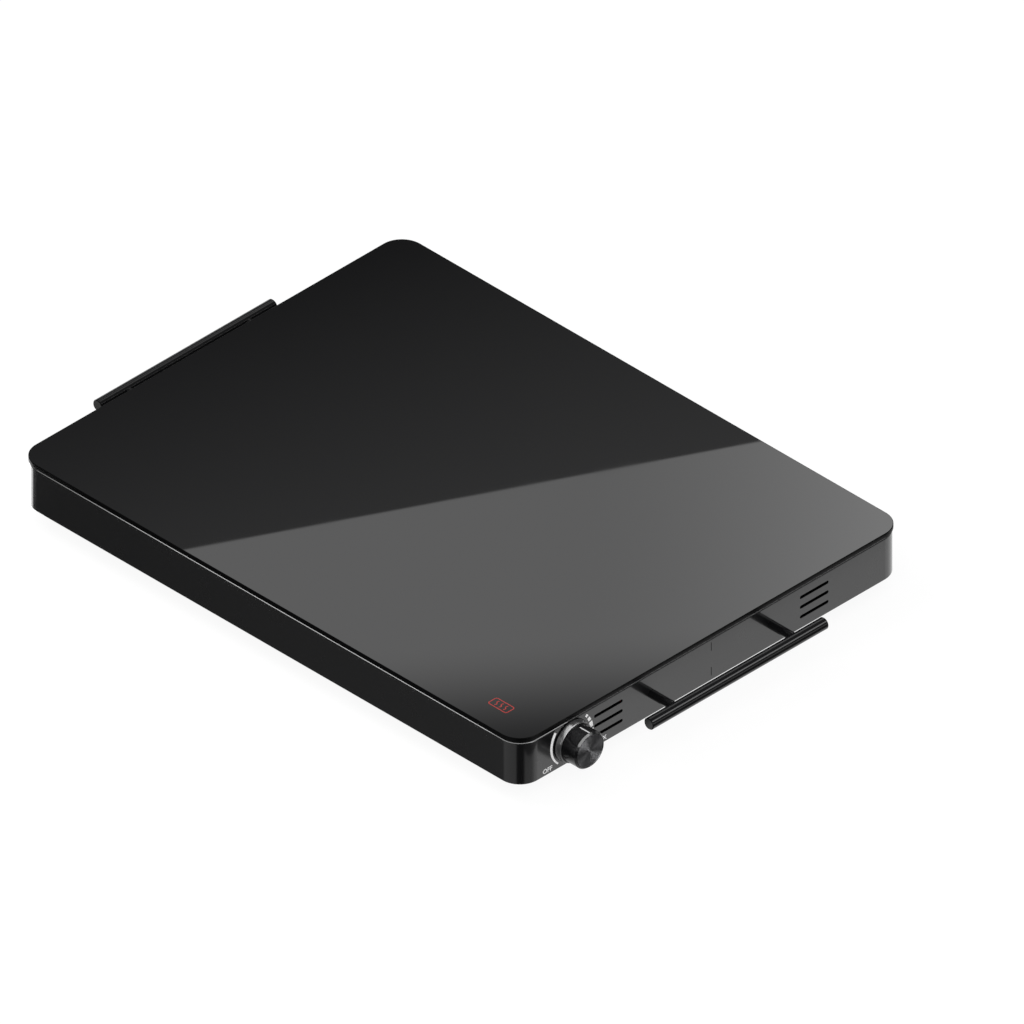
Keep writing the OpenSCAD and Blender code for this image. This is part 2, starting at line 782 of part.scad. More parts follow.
module heater_ribbon() {
    outer_y = ribbon_first_y + (ribbon_runs - 1) * ribbon_pitch;
    color("#8d8f92") translate([0, 0, ribbon_z]) linear_extrude(ribbon_t) {
        half_ribbon();
        mirror([0, 1]) half_ribbon();
        ribbon_turn(-ribbon_end_x - 2 * ribbon_w, -outer_y, outer_y);
    }
}

module heater_terminals() {
    color("#c8a24a") for (y = [-ribbon_first_y, ribbon_first_y]) {
        translate([ribbon_tail_x - terminal_w / 2, y - terminal_w / 2, ribbon_z - terminal_t])
            cube([terminal_w, terminal_w, terminal_t]);
        translate([ribbon_tail_x + terminal_w / 2 - terminal_t, y - terminal_w / 2, spreader_z - terminal_drop])
            cube([terminal_t, terminal_w, terminal_drop - upper_mica_t - ribbon_t]);
    }
}

module insulation_blanket() {
    color("#e4dfd2") translate([0, 0, insulation_z])
        round_plate(stack_l - 2 * tray_sheet, stack_w - 2 * tray_sheet, stack_corner_r, blanket_t);
}

module insulation_tray() {
    color("#a7aaae") translate([0, 0, tray_z]) difference() {
        round_plate(stack_l, stack_w, stack_corner_r + tray_sheet, blanket_t + tray_sheet);
        translate([0, 0, tray_sheet])
            round_plate(stack_l - 2 * tray_sheet, stack_w - 2 * tray_sheet, stack_corner_r, blanket_t + cut);
    }
}

module clamp_bar() {
    tab_top = frame_top - frame_sheet;
    translate([-bar_w / 2, -bar_leg_y, bar_z]) cube([bar_w, 2 * bar_leg_y, bar_t]);
    for (side = [0, 180]) rotate(side) {
        translate([-bar_w / 2, bar_leg_y - bar_t, bar_z]) cube([bar_w, bar_t, tab_top - bar_z]);
        translate([-bar_w / 2, bar_leg_y - bar_t, tab_top - bar_t])
            cube([bar_w, tab_end_y - bar_leg_y + bar_t, bar_t]);
    }
}

module clamp_bars() {
    color("#9a9da1") difference() {
        for (x = [-bar_x, bar_x]) translate([x, 0, 0]) clamp_bar();
        at_clamp_screws() translate([0, 0, frame_top - frame_sheet - bar_t - cut])
            cylinder(h = bar_t + 2 * cut, r = m3_r + hole_gap);
    }
}

module clamp_screws() {
    color("silver") at_clamp_screws() translate([0, 0, frame_top - frame_sheet - bar_t])
        pan_screw(m3_r, m3_head_r, m3_head_h, flange_screw_l);
}

// Everything on the knob's axis: local Z runs outwards from the frame's outside
module on_knob_axis() {
    translate([wall_x, knob_y, axis_z]) rotate([0, 90, 0]) children();
}

module on_stack_axis() {
    translate([wall_x, stack_y, axis_z]) rotate([0, 90, 0]) children();
}

module at_tab_rivets() {
    for (y = [-1, 1])
        translate([spreader_l / 2 - bracket_tab_x / 2, (knob_y + stack_y) / 2 + y * tab_rivet_y,
            spreader_z - bracket_t - cut]) children();
}

module thermostat_bracket() {
    plate_y = knob_y - bracket_margin;
    plate_w = stack_offset + 2 * bracket_margin;
    plate_x = wall_x + bracket_in;
    tab_start = spreader_l / 2 - bracket_tab_x;
    color("#a9acb0") difference() {
        union() {
            translate([plate_x, plate_y, axis_z - bracket_drop])
                cube([bracket_t, plate_w, spreader_z - axis_z + bracket_drop]);
            translate([tab_start, plate_y, spreader_z - bracket_t])
                cube([plate_x + bracket_t - tab_start, plate_w, bracket_t]);
        }
        on_knob_axis() translate([0, 0, bracket_in - cut])
            cylinder(h = bracket_t + 2 * cut, r = bushing_r + seat_gap);
        on_stack_axis() translate([0, 0, bracket_in - cut])
            cylinder(h = bracket_t + 2 * cut, r = rivet_r + seat_gap);
        at_tab_rivets() cylinder(h = bracket_t + 2 * cut, r = tab_rivet_r + thread_gap);
    }
}

module bracket_rivets() {
    color("#b9bcc0") at_tab_rivets() {
        translate([0, 0, cut]) cylinder(h = bracket_t + spreader_t - seat_gap, r = tab_rivet_r);
        translate([0, 0, cut - tab_rivet_r]) cylinder(h = tab_rivet_r, r1 = tab_rivet_r, r2 = tab_rivet_head_r);
    }
}

module thermostat_bushing() {
    pin_bore = pin_r + running_gap;
    spindle_bore = spindle_r + running_gap;
    color("#c8a24a") on_knob_axis() rotate_extrude() polygon([
        [pin_bore, bushing_in], [bushing_r, bushing_in], [bushing_r, bracket_out],
        [bushing_flange_r, bracket_out], [bushing_flange_r, bracket_out + bushing_flange_t],
        [bushing_r, bracket_out + bushing_flange_t], [bushing_r, bushing_out],
        [spindle_bore, bushing_out], [spindle_bore, pin_seat], [pin_bore, pin_seat]
    ]);
}

module bushing_nut() {
    color("#c8a24a") on_knob_axis() translate([0, 0, bracket_in - nut_h])
        hex_nut(nut_r, nut_h, bushing_r + seat_gap);
}

module ring(from, h) {
    translate([0, 0, from - h]) washer(ring_r, rivet_r + seat_gap, h);
}

module thermostat_insulators() {
    color("#e9e4d6") on_stack_axis() {
        ring(bracket_in, top_ring_h);
        ring(top_blade_at - blade_t, mid_ring_h);
        ring(mid_blade_at - blade_t, low_ring_h);
        ring(bimetal_at - bimetal_t, end_ring_h);
    }
}

// A blade seen from its stack: local X points down, local Y to the rear
module blade(at, t, w, tab, lift) {
    translate([0, 0, at - t]) difference() {
        union() {
            translate([-w / 2, -stack_offset - blade_reach, 0])
                cube([w, stack_offset + blade_reach + ring_r, t]);
            translate([-lift - blade_tab_w / 2, 0, 0]) cube([blade_tab_w, tab, t]);
        }
        translate([0, 0, -cut]) cylinder(h = t + 2 * cut, r = rivet_r + seat_gap);
    }
}

module contact_blades() {
    color("#c07a3c") on_stack_axis() {
        blade(top_blade_at, blade_t, blade_w, blade_tab_l, tab_lift);
        blade(mid_blade_at, blade_t, blade_w, blade_tab_l, -tab_lift);
    }
}

module contact_points() {
    point_h = (mid_ring_h - contact_gap) / 2;
    color("silver") on_stack_axis() for (from = [mid_blade_at, top_blade_at - blade_t - point_h])
        translate([0, -stack_offset * point_at_share, from]) cylinder(h = point_h, r = point_r);
}

module bimetal_blade() {
    color("#9c8f78") on_stack_axis()
        blade(bimetal_at, bimetal_t, blade_w, ring_r, 0);
}

module stack_rivet() {
    color("silver") on_stack_axis() {
        translate([0, 0, stack_end]) cylinder(h = bracket_out - stack_end, r = rivet_r);
        translate([0, 0, stack_end - rivet_head_t]) cylinder(h = rivet_head_t, r = rivet_head_r);
        translate([0, 0, bracket_out]) cylinder(h = rivet_head_t, r = rivet_head_r);
    }
}

// What a flat on the spindle's side takes away, from a height outwards
module flat_cut(r, from) {
    rotate(pointer_angle + 90) translate([r * spindle_flat_share, -r - cut, from])
        cube([r + cut, 2 * (r + cut), knob_h]);
}

module control_spindle() {
    color("silver") on_knob_axis() difference() {
        union() {
            translate([0, 0, spindle_in]) cylinder(h = spindle_grip + knob_gap - spindle_in, r = spindle_r);
            translate([0, 0, bushing_out + seat_gap]) cylinder(h = spindle_collar_t, r = spindle_collar_r);
        }
        flat_cut(spindle_r, boss_start - knob_gap);
        translate([0, 0, spindle_in - cut]) cylinder(h = pin_stem_l + cut, r = pin_r + running_gap);
    }
}

module adjusting_pin() {
    color("#e9e4d6") on_knob_axis() {
        translate([0, 0, pin_tip]) cylinder(h = pin_head_in - pin_tip, r = pin_r);
        translate([0, 0, pin_head_in]) cylinder(h = pin_head_t, r = pin_head_r);
        translate([0, 0, pin_head_in])
            cylinder(h = spindle_in + pin_stem_l - pin_travel - travel_gap - pin_head_in, r = pin_r);
    }
}

module pointer_block(inner, outer) {
    rotate(pointer_angle + 90) translate([inner, -pointer_w / 2, pointer_start])
        cube([outer - inner, pointer_w, knob_h - knob_bevel - pointer_end_gap - pointer_start]);
}

module knob_body() {
    cavity_top = knob_h - cap_t - knob_wall;
    bore_r = spindle_r + seat_gap;
    color("#202124") on_knob_axis() difference() {
        rotate_extrude() polygon([
            [boss_r, boss_start], [boss_r, cavity_top], [barrel_r - knob_wall, cavity_top],
            [barrel_r - knob_wall, skirt_cavity_h], [skirt_r - knob_wall, skirt_cavity_h],
            [skirt_r - knob_wall, knob_gap], [skirt_r, knob_gap], [skirt_front_r, skirt_h - skirt_bevel],
            [skirt_front_r - skirt_bevel, skirt_h], [barrel_r, skirt_h], [barrel_r, knob_h - knob_bevel],
            [knob_end_r, knob_h], [knob_end_r - cap_rim, knob_h], [knob_end_r - cap_rim, knob_h - cap_t],
            [0, knob_h - cap_t], [0, boss_start]
        ]);
        difference() {
            translate([0, 0, boss_start - cut])
                cylinder(h = spindle_grip + knob_gap + seat_gap - boss_start + cut, r = bore_r);
            flat_cut(bore_r, knob_gap);
        }
        pointer_block(barrel_r - pointer_depth, barrel_r + cut);
    }
}

module knob_cap() {
    cap_r = knob_end_r - cap_rim - thread_gap;
    color("#8f9296") on_knob_axis() rotate_extrude() polygon([
        [0, knob_h - cap_t], [cap_r, knob_h - cap_t], [cap_r, knob_h], [cap_r - cap_rim, knob_h],
        [cap_r - 2 * cap_rim, knob_h - cap_dish / 2], [0, knob_h - cap_dish]
    ]);
}

module knob_pointer() {
    color("white") on_knob_axis() pointer_block(barrel_r - pointer_depth, barrel_r);
}

module knob_clip() {
    color("silver") on_knob_axis() translate([0, 0, boss_start + knob_gap])
        rotate(pointer_angle + 90 + clip_opening / 2) rotate_extrude(angle = 360 - clip_opening)
            translate([boss_r + thread_gap, 0]) square([clip_t, clip_h]);
}

// Indicator
module legend_film() {
    color("#b0181c") translate([legend_x, legend_y, film_z])
        round_plate(legend_l, legend_w, legend_r, film_t);
}

module lamp_housing() {
    lug_top = frame_top - frame_sheet;
    color("#d9d9d4") difference() {
        union() {
            translate([legend_x - lamp_l / 2, legend_y - lamp_w / 2, lamp_z]) cube([lamp_l, lamp_w, lamp_depth]);
            translate([legend_x - lug_w / 2, -tab_end_y, lug_top - lug_t])
                cube([lug_w, tab_end_y + legend_y, lug_t]);
        }
        translate([legend_x - lamp_l / 2 + lamp_wall, legend_y - lamp_w / 2 + lamp_wall, lamp_z + lamp_wall])
            cube([lamp_l - 2 * lamp_wall, lamp_w - 2 * lamp_wall, lamp_depth]);
        translate([legend_x, -flange_screw_y, lug_top - lug_t - cut])
            cylinder(h = lug_t + 2 * cut, r = m3_r + hole_gap);
    }
}

module indicator_lamps() {
    color("#ff5a3c") for (x = [-1, 1])
        translate([legend_x + x * bulb_spacing / 2, legend_y, lamp_z + lamp_wall]) {
            cylinder(h = bulb_l - bulb_r, r = bulb_r);
            translate([0, 0, bulb_l - bulb_r]) cylinder(h = bulb_r, r1 = bulb_r, r2 = bulb_r / 2);
        }
}

module lamp_screw() {
    color("silver") translate([legend_x, -flange_screw_y, frame_top - frame_sheet - lug_t])
        pan_screw(m3_r, m3_head_r, m3_head_h, flange_screw_l + lug_t - bar_t);
}

// Cord inlet and terminal block
module on_gland_axis() {
    translate([-wall_x, gland_y, axis_z]) rotate([0, -90, 0]) children();
}

module cord_gland() {
    color("#151516") on_gland_axis() rotate_extrude() polygon([
        [gland_bore_r, -gland_neck_l - frame_sheet], [gland_neck_r, -gland_neck_l - frame_sheet],
        [gland_neck_r, 0], [gland_collar_r, 0], [gland_collar_r, gland_collar_t],
        [gland_dome_r, gland_collar_t], [gland_dome_r, gland_reach - gland_dome_r + gland_bore_r],
        [gland_bore_r + gland_lip, gland_reach], [gland_bore_r, gland_reach]
    ]);
}

module gland_nut() {
    color("#1c1d1f") on_gland_axis() translate([0, 0, -frame_sheet - gland_nut_h])
        hex_nut(gland_nut_r, gland_nut_h, gland_neck_r + seat_gap);
}

module at_ways() {
    for (way = [0:block_ways - 1])
        translate([block_x, block_y + (way - (block_ways - 1) / 2) * way_pitch, frame_bottom]) children();
}

module terminal_block() {
    color("#e6e4dc") difference() {
        translate([block_x - block_w / 2, block_y - block_ways * way_pitch / 2, frame_bottom])
            cube([block_w, block_ways * way_pitch, block_h]);
        at_ways() {
            for (side = [-1, 1]) {
                translate([side * (block_w / 2 - way_depth / 2 + cut / 2), 0, way_z]) rotate([0, 90, 0])
                    cylinder(h = way_depth + cut, r = way_r, center = true);
                translate([side * way_screw_offset, 0, way_z])
                    cylinder(h = block_h, r = way_screw_r + thread_gap);
            }
        }
        at_block_screws() translate([0, 0, frame_bottom - cut])
            cylinder(h = block_h + 2 * cut, r = m3_r + hole_gap);
    }
}

module terminal_screws() {
    color("#c8a24a") at_ways() for (side = [-1, 1])
        translate([side * way_screw_offset, 0, way_z + lead_r + seat_gap])
            cylinder(h = way_screw_h, r = way_screw_r);
}

module block_screws() {
    color("silver") at_block_screws() translate([0, 0, frame_bottom + block_h]) mirror([0, 0, 1])
        pan_screw(m3_r, m3_head_r, m3_head_h, block_h + pan_t);
}

module earth_screw() {
    color("#c8a24a") translate([earth_x, earth_y, frame_bottom]) mirror([0, 0, 1])
        pan_screw(m4_r, m4_head_r, m4_head_h, earth_screw_l);
}

// Thermal fuse
module thermal_fuse() {
    color("#cfcfca") translate([fuse_x, fuse_y, fuse_z]) rotate([90, 0, 0])
        cylinder(h = fuse_l, r = fuse_r, center = true);
}

module fuse_clip() {
    bore = fuse_r + seat_gap;
    color("#b9bcc0") translate([fuse_x, fuse_y + fuse_clip_l / 2, fuse_z]) rotate([90, 0, 0])
        linear_extrude(fuse_clip_l) {
            difference() {
                circle(bore + fuse_clip_t);
                circle(bore);
                translate([-2 * fuse_r, 0]) square([4 * fuse_r, 2 * fuse_r]);
            }
            for (side = [0, 1]) mirror([side, 0]) {
                translate([bore, 0]) square([fuse_clip_t, spreader_z - fuse_z]);
                translate([bore, spreader_z - fuse_z - fuse_clip_t]) square([fuse_tab, fuse_clip_t]);
            }
        }
}

// A lead is one tube swept along a smooth curve through its route, with a straight stretch at each end
function curve_point(a, b, c, d, t) = 0.5 * (2 * b + (c - a) * t + (2 * a - 5 * b + 4 * c - d) * t * t
    + (3 * b - a - 3 * c + d) * t * t * t);
function end_point(route, i) = i < 0 ? 2 * route[0] - route[1]
    : i >= len(route) ? 2 * route[len(route) - 1] - route[len(route) - 2] : route[i];
function curve(route) = concat(
    [for (i = [0:len(route) - 2], k = [0:lead_steps - 1])
        curve_point(end_point(route, i - 1), route[i], route[i + 1], end_point(route, i + 2), k / lead_steps)],
    [route[len(route) - 1]]);
function unit(v) = v / norm(v);
function heading(line, i) = unit(i == 0 ? line[1] - line[0]
    : i == len(line) - 1 ? line[i] - line[i - 1] : unit(line[i + 1] - line[i]) + unit(line[i] - line[i - 1]));
function square_to(v, t) = unit(v - (v * t) * t);
function carried(line, i) = i == 0
    ? square_to(abs(heading(line, 0)[2]) < steep_share ? [0, 0, 1] : [1, 0, 0], heading(line, 0))
    : square_to(carried(line, i - 1), heading(line, i));
function places(shares) = [for (s = shares) [s[0] * wall_x, s[1] * wall_y, lead_lie + s[2] * frame_h]];
function way_y(way) = block_y + (way - (block_ways - 1) / 2) * way_pitch;
function way_end(way) = [block_x + way_screw_offset, way_y(way), frame_bottom + way_z];
function terminal_end(side) = [ribbon_tail_x + terminal_w / 2, side * ribbon_first_y,
    spreader_z - terminal_drop + terminal_w / 2];
function blade_end(at, lift) = [wall_x + at - blade_t / 2, stack_y + blade_tab_l, axis_z + lift];
function fuse_end(side) = [fuse_x, fuse_y + side * fuse_l / 2, fuse_z];
function lamp_end(side) = [legend_x + side * bulb_spacing / 2, legend_y, lamp_z];

function fan(way) = [for (step = [fan_near, fan_far]) [block_x + step[0], way_y(way) + step[1], lead_lie]];

module lead(start, start_way, middle, finish, finish_way) {
    route = concat([for (k = [0, 0.5, 1]) start + k * lead_straight * start_way], middle,
        [for (k = [1, 0.5, 0]) finish + k * lead_straight * finish_way]);
    line = curve(route);
    rings = len(line);
    points = [for (i = [0:rings - 1]) let (t = heading(line, i), u = carried(line, i), v = cross(t, u))
        for (k = [0:lead_sides - 1]) line[i]
            + lead_r * (cos(k * 360 / lead_sides) * u + sin(k * 360 / lead_sides) * v)];
    sides = [for (i = [0:rings - 2], k = [0:lead_sides - 1]) let (n = (k + 1) % lead_sides)
        [i * lead_sides + k, (i + 1) * lead_sides + k, (i + 1) * lead_sides + n, i * lead_sides + n]];
    first_cap = [for (k = [0:lead_sides - 1]) k];
    last_cap = [for (k = [lead_sides - 1:-1:0]) (rings - 1) * lead_sides + k];
    polyhedron(points, concat(sides, [first_cap, last_cap]));
}

module block_lead(way, shares, finish, finish_way) {
    lead(way_end(way), [1, 0, 0], concat(fan(way), places(shares)), finish, finish_way);
}

module neutral_lead() {
    color("#2b4f8c") block_lead(4, neutral_shares, terminal_end(-1), [1, 0, 0]);
}

module live_lead() {
    color("#5d3a24") block_lead(3, live_shares, blade_end(top_blade_at, tab_lift), [0, 1, 0]);
}

module lamp_leads() {
    color("#777777") {
        block_lead(2, inner_lamp_shares, lamp_end(-1), [0, 0, -1]);
        block_lead(1, outer_lamp_shares, lamp_end(1), [0, 0, -1]);
    }
}

module earth_lead() {
    color("#3f7a3a") lead(way_end(0), [1, 0, 0], [[block_x + earth_turn, (way_y(0) + earth_y) / 2, lead_lie]],
        [earth_x + m4_head_r + seat_gap, earth_y, lead_lie], [1, 0, 0]);
}

module switched_lead() {
    color("#8a2420") lead(blade_end(mid_blade_at, -tab_lift), [0, 1, 0], places(switched_shares),
        fuse_end(1), [0, 1, 0]);
}

module fuse_lead() {
    color("#8a2420")
        lead(terminal_end(1), [1, 0, 0], places(fuse_shares), fuse_end(-1), [0, -1, 0]);
}

glass_top();
glass_seal();
side_frame();
seam_plate();
base_pan();
base_screws();
rubber_feet();
foot_washers();
foot_screws();
foot_nuts();
left_handle_bar();
left_handle_posts();
right_handle_bar();
right_handle_posts();
handle_screws();
handle_washers();
heat_spreader();
upper_mica_sheet();
heater_ribbon();
lower_mica_sheet();
heater_terminals();
insulation_blanket();
insulation_tray();
clamp_bars();
clamp_screws();
thermostat_bracket();
bracket_rivets();
thermostat_bushing();
bushing_nut();
thermostat_insulators();
contact_blades();
contact_points();
bimetal_blade();
stack_rivet();
control_spindle();
adjusting_pin();
knob_body();
knob_cap();
knob_pointer();
knob_clip();
legend_film();
lamp_housing();
indicator_lamps();
lamp_screw();
cord_gland();
gland_nut();
terminal_block();
terminal_screws();
block_screws();
earth_screw();
thermal_fuse();
fuse_clip();
live_lead();
switched_lead();
fuse_lead();
neutral_lead();
lamp_leads();
earth_lead();
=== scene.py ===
"""Looks of the electric food warmer tray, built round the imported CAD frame: metres, +Z up, as there."""

import math

import bmesh
import bpy
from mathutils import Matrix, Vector

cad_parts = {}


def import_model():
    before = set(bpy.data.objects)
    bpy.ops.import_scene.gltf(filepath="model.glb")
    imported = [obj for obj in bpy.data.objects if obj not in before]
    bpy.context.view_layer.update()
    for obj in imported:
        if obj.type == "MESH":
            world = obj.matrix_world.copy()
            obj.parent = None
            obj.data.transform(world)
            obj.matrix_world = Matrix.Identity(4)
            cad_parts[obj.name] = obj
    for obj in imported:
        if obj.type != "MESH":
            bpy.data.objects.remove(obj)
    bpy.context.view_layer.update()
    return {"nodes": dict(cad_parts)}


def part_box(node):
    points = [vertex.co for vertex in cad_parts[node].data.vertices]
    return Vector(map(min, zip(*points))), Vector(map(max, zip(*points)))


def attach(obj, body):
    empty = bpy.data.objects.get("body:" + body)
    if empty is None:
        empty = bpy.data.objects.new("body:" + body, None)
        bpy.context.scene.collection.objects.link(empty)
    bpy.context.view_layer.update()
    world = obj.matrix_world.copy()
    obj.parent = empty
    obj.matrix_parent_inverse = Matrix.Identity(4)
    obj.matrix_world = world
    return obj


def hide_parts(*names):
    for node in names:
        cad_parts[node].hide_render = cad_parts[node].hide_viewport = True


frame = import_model()
nodes = frame["nodes"]

MM = 0.001


def middle(box, axis):
    return (box[0][axis] + box[1][axis]) / 2


# Places that the pieces take from the part
glass_box, wall_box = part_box("glass_top"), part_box("side_frame")
cap_box, film_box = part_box("knob_cap"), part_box("legend_film")
GLASS_L, GLASS_W = 2 * glass_box[1][0], 2 * glass_box[1][1]
GLASS_BOTTOM = glass_box[0][2]
WALL_X = wall_box[1][0]
CAP_X = cap_box[1][0]
DIAL_Y, DIAL_Z = middle(cap_box, 1), middle(cap_box, 2)
SKIRT_FROM, SKIRT_BLEND = 16.2 * MM, 0.1 * MM
RING_PITCH = 0.35 * MM
LEGEND_X, LEGEND_Y = middle(film_box, 0), middle(film_box, 1)
LEGEND_L, LEGEND_W = film_box[1][0] - film_box[0][0], film_box[1][1] - film_box[0][1]

# Print on the wall and on the glass, which lies that much under the part's top
PRINT_T = 0.06 * MM
LEGEND_T = 0.03 * MM
LEGEND_R = 2.3 * MM
LEGEND_MARGIN = 0.7 * MM
GLASS_TOP = glass_box[1][2] - LEGEND_T
GLASS_R = 19.5 * MM
GLASS_ARRIS = 0.5 * MM
GLASS_EASE = 0.4 * MM

# The dial's print: the arc's angles, and the dashes (from, to, inner radius, outer radius), in degrees and mm
ARC_FROM, ARC_TO, ARC_STEPS = 227, 139, 48
ARC_INNER, ARC_INNER_GROWTH = 19.85, 0.9
ARC_OUTER, ARC_OUTER_GROWTH = 21.2, 2.4
DASHES = ((37, 43.5, 20.5, 22.8), (22, 31.5, 20.2, 23.0), (4, 17.5, 20.0, 23.3), (-18, -0.5, 19.9, 23.9),
          (-42, -22, 19.8, 24.6))
# Its words: name, text, height, and the middle's place from the dial's, in mm
WORDS = (("print_off", "OFF", 4.2, -25.2, -15.2), ("print_max", "MAX", 4.0, 31.8, -15.5))
LETTER_WEIGHT = 0.015

# The lit sign: its line, and its waves' places, swing and height
SIGN_LINE = 0.9 * MM
WAVE_PLACES = (-4.6 * MM, 0.0, 4.6 * MM)
WAVE_SWING, WAVE_HEIGHT, WAVE_STEPS = 0.9 * MM, 5.6 * MM, 24

# The view
CAMERA_AZIMUTH = 45.0
CAMERA_ELEVATION = 35.2644
VIEW_WIDTH = 0.7732
VIEW_RIGHT, VIEW_UP = 0.0386, 0.0322
CAMERA_DISTANCE = 2.0

CLIP_NEAR, CLIP_FAR = 0.05, 50.0

# The lamps: name, place, size, power
LAMPS = (("key", (-0.8, -0.6, 1.6), 1.2, 14), ("fill", (1.2, -0.9, 1.4), 1.4, 16))
WORLD_LIGHT = 0.6
FLOOR_HALF, FLOOR_SHADE, FLOOR_SEEN = 12.0, 0.1, 0.92

# The card over the tray: the photograph's view meets its point (x - CARD_H, y + CARD_H) in the glass at x, y.
# Its field's reach and soft end; the level beyond; and its strips (x and y from, to, soft end; level)
CARD_H = 1.2
CARD_HALF = 6.0
CEILING_NEAR, CEILING_FADE, CEILING_DARK = 0.6, 0.2, 0.15
STRIPS = (((0.92, 1.85, 0.2), (0.6, 1.9, 0.2), 3.6), ((-0.6, -0.2, 0.12), (0.6, 1.5, 0.15), 1.2))

# The floor's mirrored side: the frame's corners; bands by the angle that the corner faces (from, to, change);
# where the white beside the right wall ends; a patch of painted shade and a lit strip beside the knob; the
# lit left side
CORNER_R = 18.7 * MM
CORNER_X, CORNER_Y = WALL_X - CORNER_R, wall_box[0][1] + CORNER_R
FLOOR_CARD_HALF, FLOOR_CARD_Z = 3.0, 0.4 * MM
FIRST_BAND = (-86, -82, 0.13, 0.42)
CORNER_BANDS = ((-56, -50, -0.40), (-38, -31, 0.38), (-18, -2, 0.5))
FLOOR_WHITE_END = 0.324
FLOOR_DARK = 0.1
KNOB_SHADE_PATCH = ((0.296, 0.34, 0.004), (-0.144, -0.096, 0.006))
CAP_STRIP = ((0.39, 1.3, 0.05), (-0.19, -0.04, 0.03), 5.0)
LEFT_LIT_FROM, LEFT_LIT_END, LEFT_LIT_LEVEL = -103.0, (-0.145, -0.141), 2.2
# painted shadow under the tray in the mirrored floor: its reach, soft end, and the share of level it keeps
UNDER_X, UNDER_Y, UNDER_FADE, UNDER_SHADE_SHARE = 0.262, 0.199, 0.01, 0.3

# The card that the spun cap mirrors: centre, the point that it faces, width, height, level
CAP_CARD = ((1.3, -0.1, 0.2), (0.3, -0.1, 0.2), 0.5, 0.4, 5.0)

# The narrow screen beside the frame's upper bend: its gap, heights and levels (far left, front, corner)
BEND_GAP = 5 * MM
BEND_LOW, BEND_HIGH = 56 * MM, 60.8 * MM
BEND_LEVELS = (2.2, 8.5, 4.5)
BEND_END = DIAL_Y

BEND_FADE_IN = (-0.26, -0.1)
BEND_FADE_OUT = (CORNER_X - 22 * MM, CORNER_X - 12 * MM)
BEND_STEP, BEND_STEPS = 7.5, 12

# The knob's screens: name, start and end angle round the knob, lean of the mirroring face towards +X,
# its radius and place along X, the screen's distance, half its width, level
KNOB_SCREENS = (
    ("skirt_screen", 102, 158, 0.187, 17.5 * MM, WALL_X + 3.5 * MM, 0.5, 0.09, 6.5),
    ("bevel_screen", 92, 142, 1.0, 15.0 * MM, CAP_X, 0.5, 0.09, 8.0),
)


# ---------------------------------------------------------------- node helpers
class Tree:
    """Short calls for one node tree."""

    def __init__(self, tree):
        self.tree = tree

    def add(self, kind, **settings):
        made = self.tree.nodes.new(kind)
        for name, value in settings.items():
            setattr(made, name, value)
        return made

    def link(self, source, target):
        self.tree.links.new(source, target)

    def feed(self, socket, value):
        """Links a socket to the input, or sets the input to a plain value."""
        if isinstance(value, bpy.types.NodeSocket):
            self.link(value, socket)
        elif value is not None:
            socket.default_value = value

    def math(self, operation, a, b=None, c=None, clamp=False):
        made = self.add("ShaderNodeMath", operation=operation, use_clamp=clamp)
        for socket, value in zip(made.inputs, (a, b, c)):
            self.feed(socket, value)
        return made.outputs[0]

    def spread(self, value, low, high, to_low=0.0, to_high=1.0, smooth=False):
        """Maps low..high to to_low..to_high, and holds the ends."""
        made = self.add("ShaderNodeMapRange", clamp=True)
        if smooth:
            made.interpolation_type = "SMOOTHSTEP"
        for socket, x in zip(made.inputs, (value, low, high, to_low, to_high)):
            self.feed(socket, x)
        return made.outputs[0]

    def within(self, value, low, high, rise, fall=None):
        """1 between low and high, 0 outside, with soft ends inside them."""
        start = self.spread(value, low, low + rise, smooth=True)
        end = high - (rise if fall is None else fall)
        return self.math("MULTIPLY", start, self.spread(value, end, high, 1.0, 0.0, smooth=True))

    def place(self, stretch=(1, 1, 1)):
        """The object's own coordinates, in metres, stretched."""
        mapping = self.add("ShaderNodeMapping")
        mapping.inputs["Scale"].default_value = stretch
        self.link(self.add("ShaderNodeTexCoord").outputs["Object"], mapping.inputs["Vector"])
        return mapping.outputs["Vector"]

    def noise(self, scale, detail=3.0, rough=0.5, stretch=(1, 1, 1)):
        made = self.add("ShaderNodeTexNoise")
        self.link(self.place(stretch), made.inputs["Vector"])
        made.inputs["Scale"].default_value = scale
        made.inputs["Detail"].default_value = detail
        made.inputs["Roughness"].default_value = rough
        return made.outputs["Fac"]

    def mix_colour(self, share, a, b):
        made = self.add("ShaderNodeMix", data_type="RGBA")
        self.feed(made.inputs["Factor"], share)
        self.feed(made.inputs["A"], a)
        self.feed(made.inputs["B"], b)
        return made.outputs["Result"]

    def bump(self, height, distance, strength=1.0, normal=None):
        made = self.add("ShaderNodeBump")
        made.inputs["Strength"].default_value = strength
        made.inputs["Distance"].default_value = distance
        self.link(height, made.inputs["Height"])
        self.feed(made.inputs["Normal"], normal)
        return made.outputs["Normal"]


def rgba(colour):
    return (*colour[:3], 1.0)


def scaled(colour, factor):
    return tuple(min(1.0, c * factor) for c in colour[:3])


def principled(name):
    """A new material with its node tree and its Principled shader."""
    material = bpy.data.materials.new(name)
    material.use_nodes = True
    tree = Tree(material.node_tree)
    shader = material.node_tree.nodes["Principled BSDF"]
    return material, tree, shader


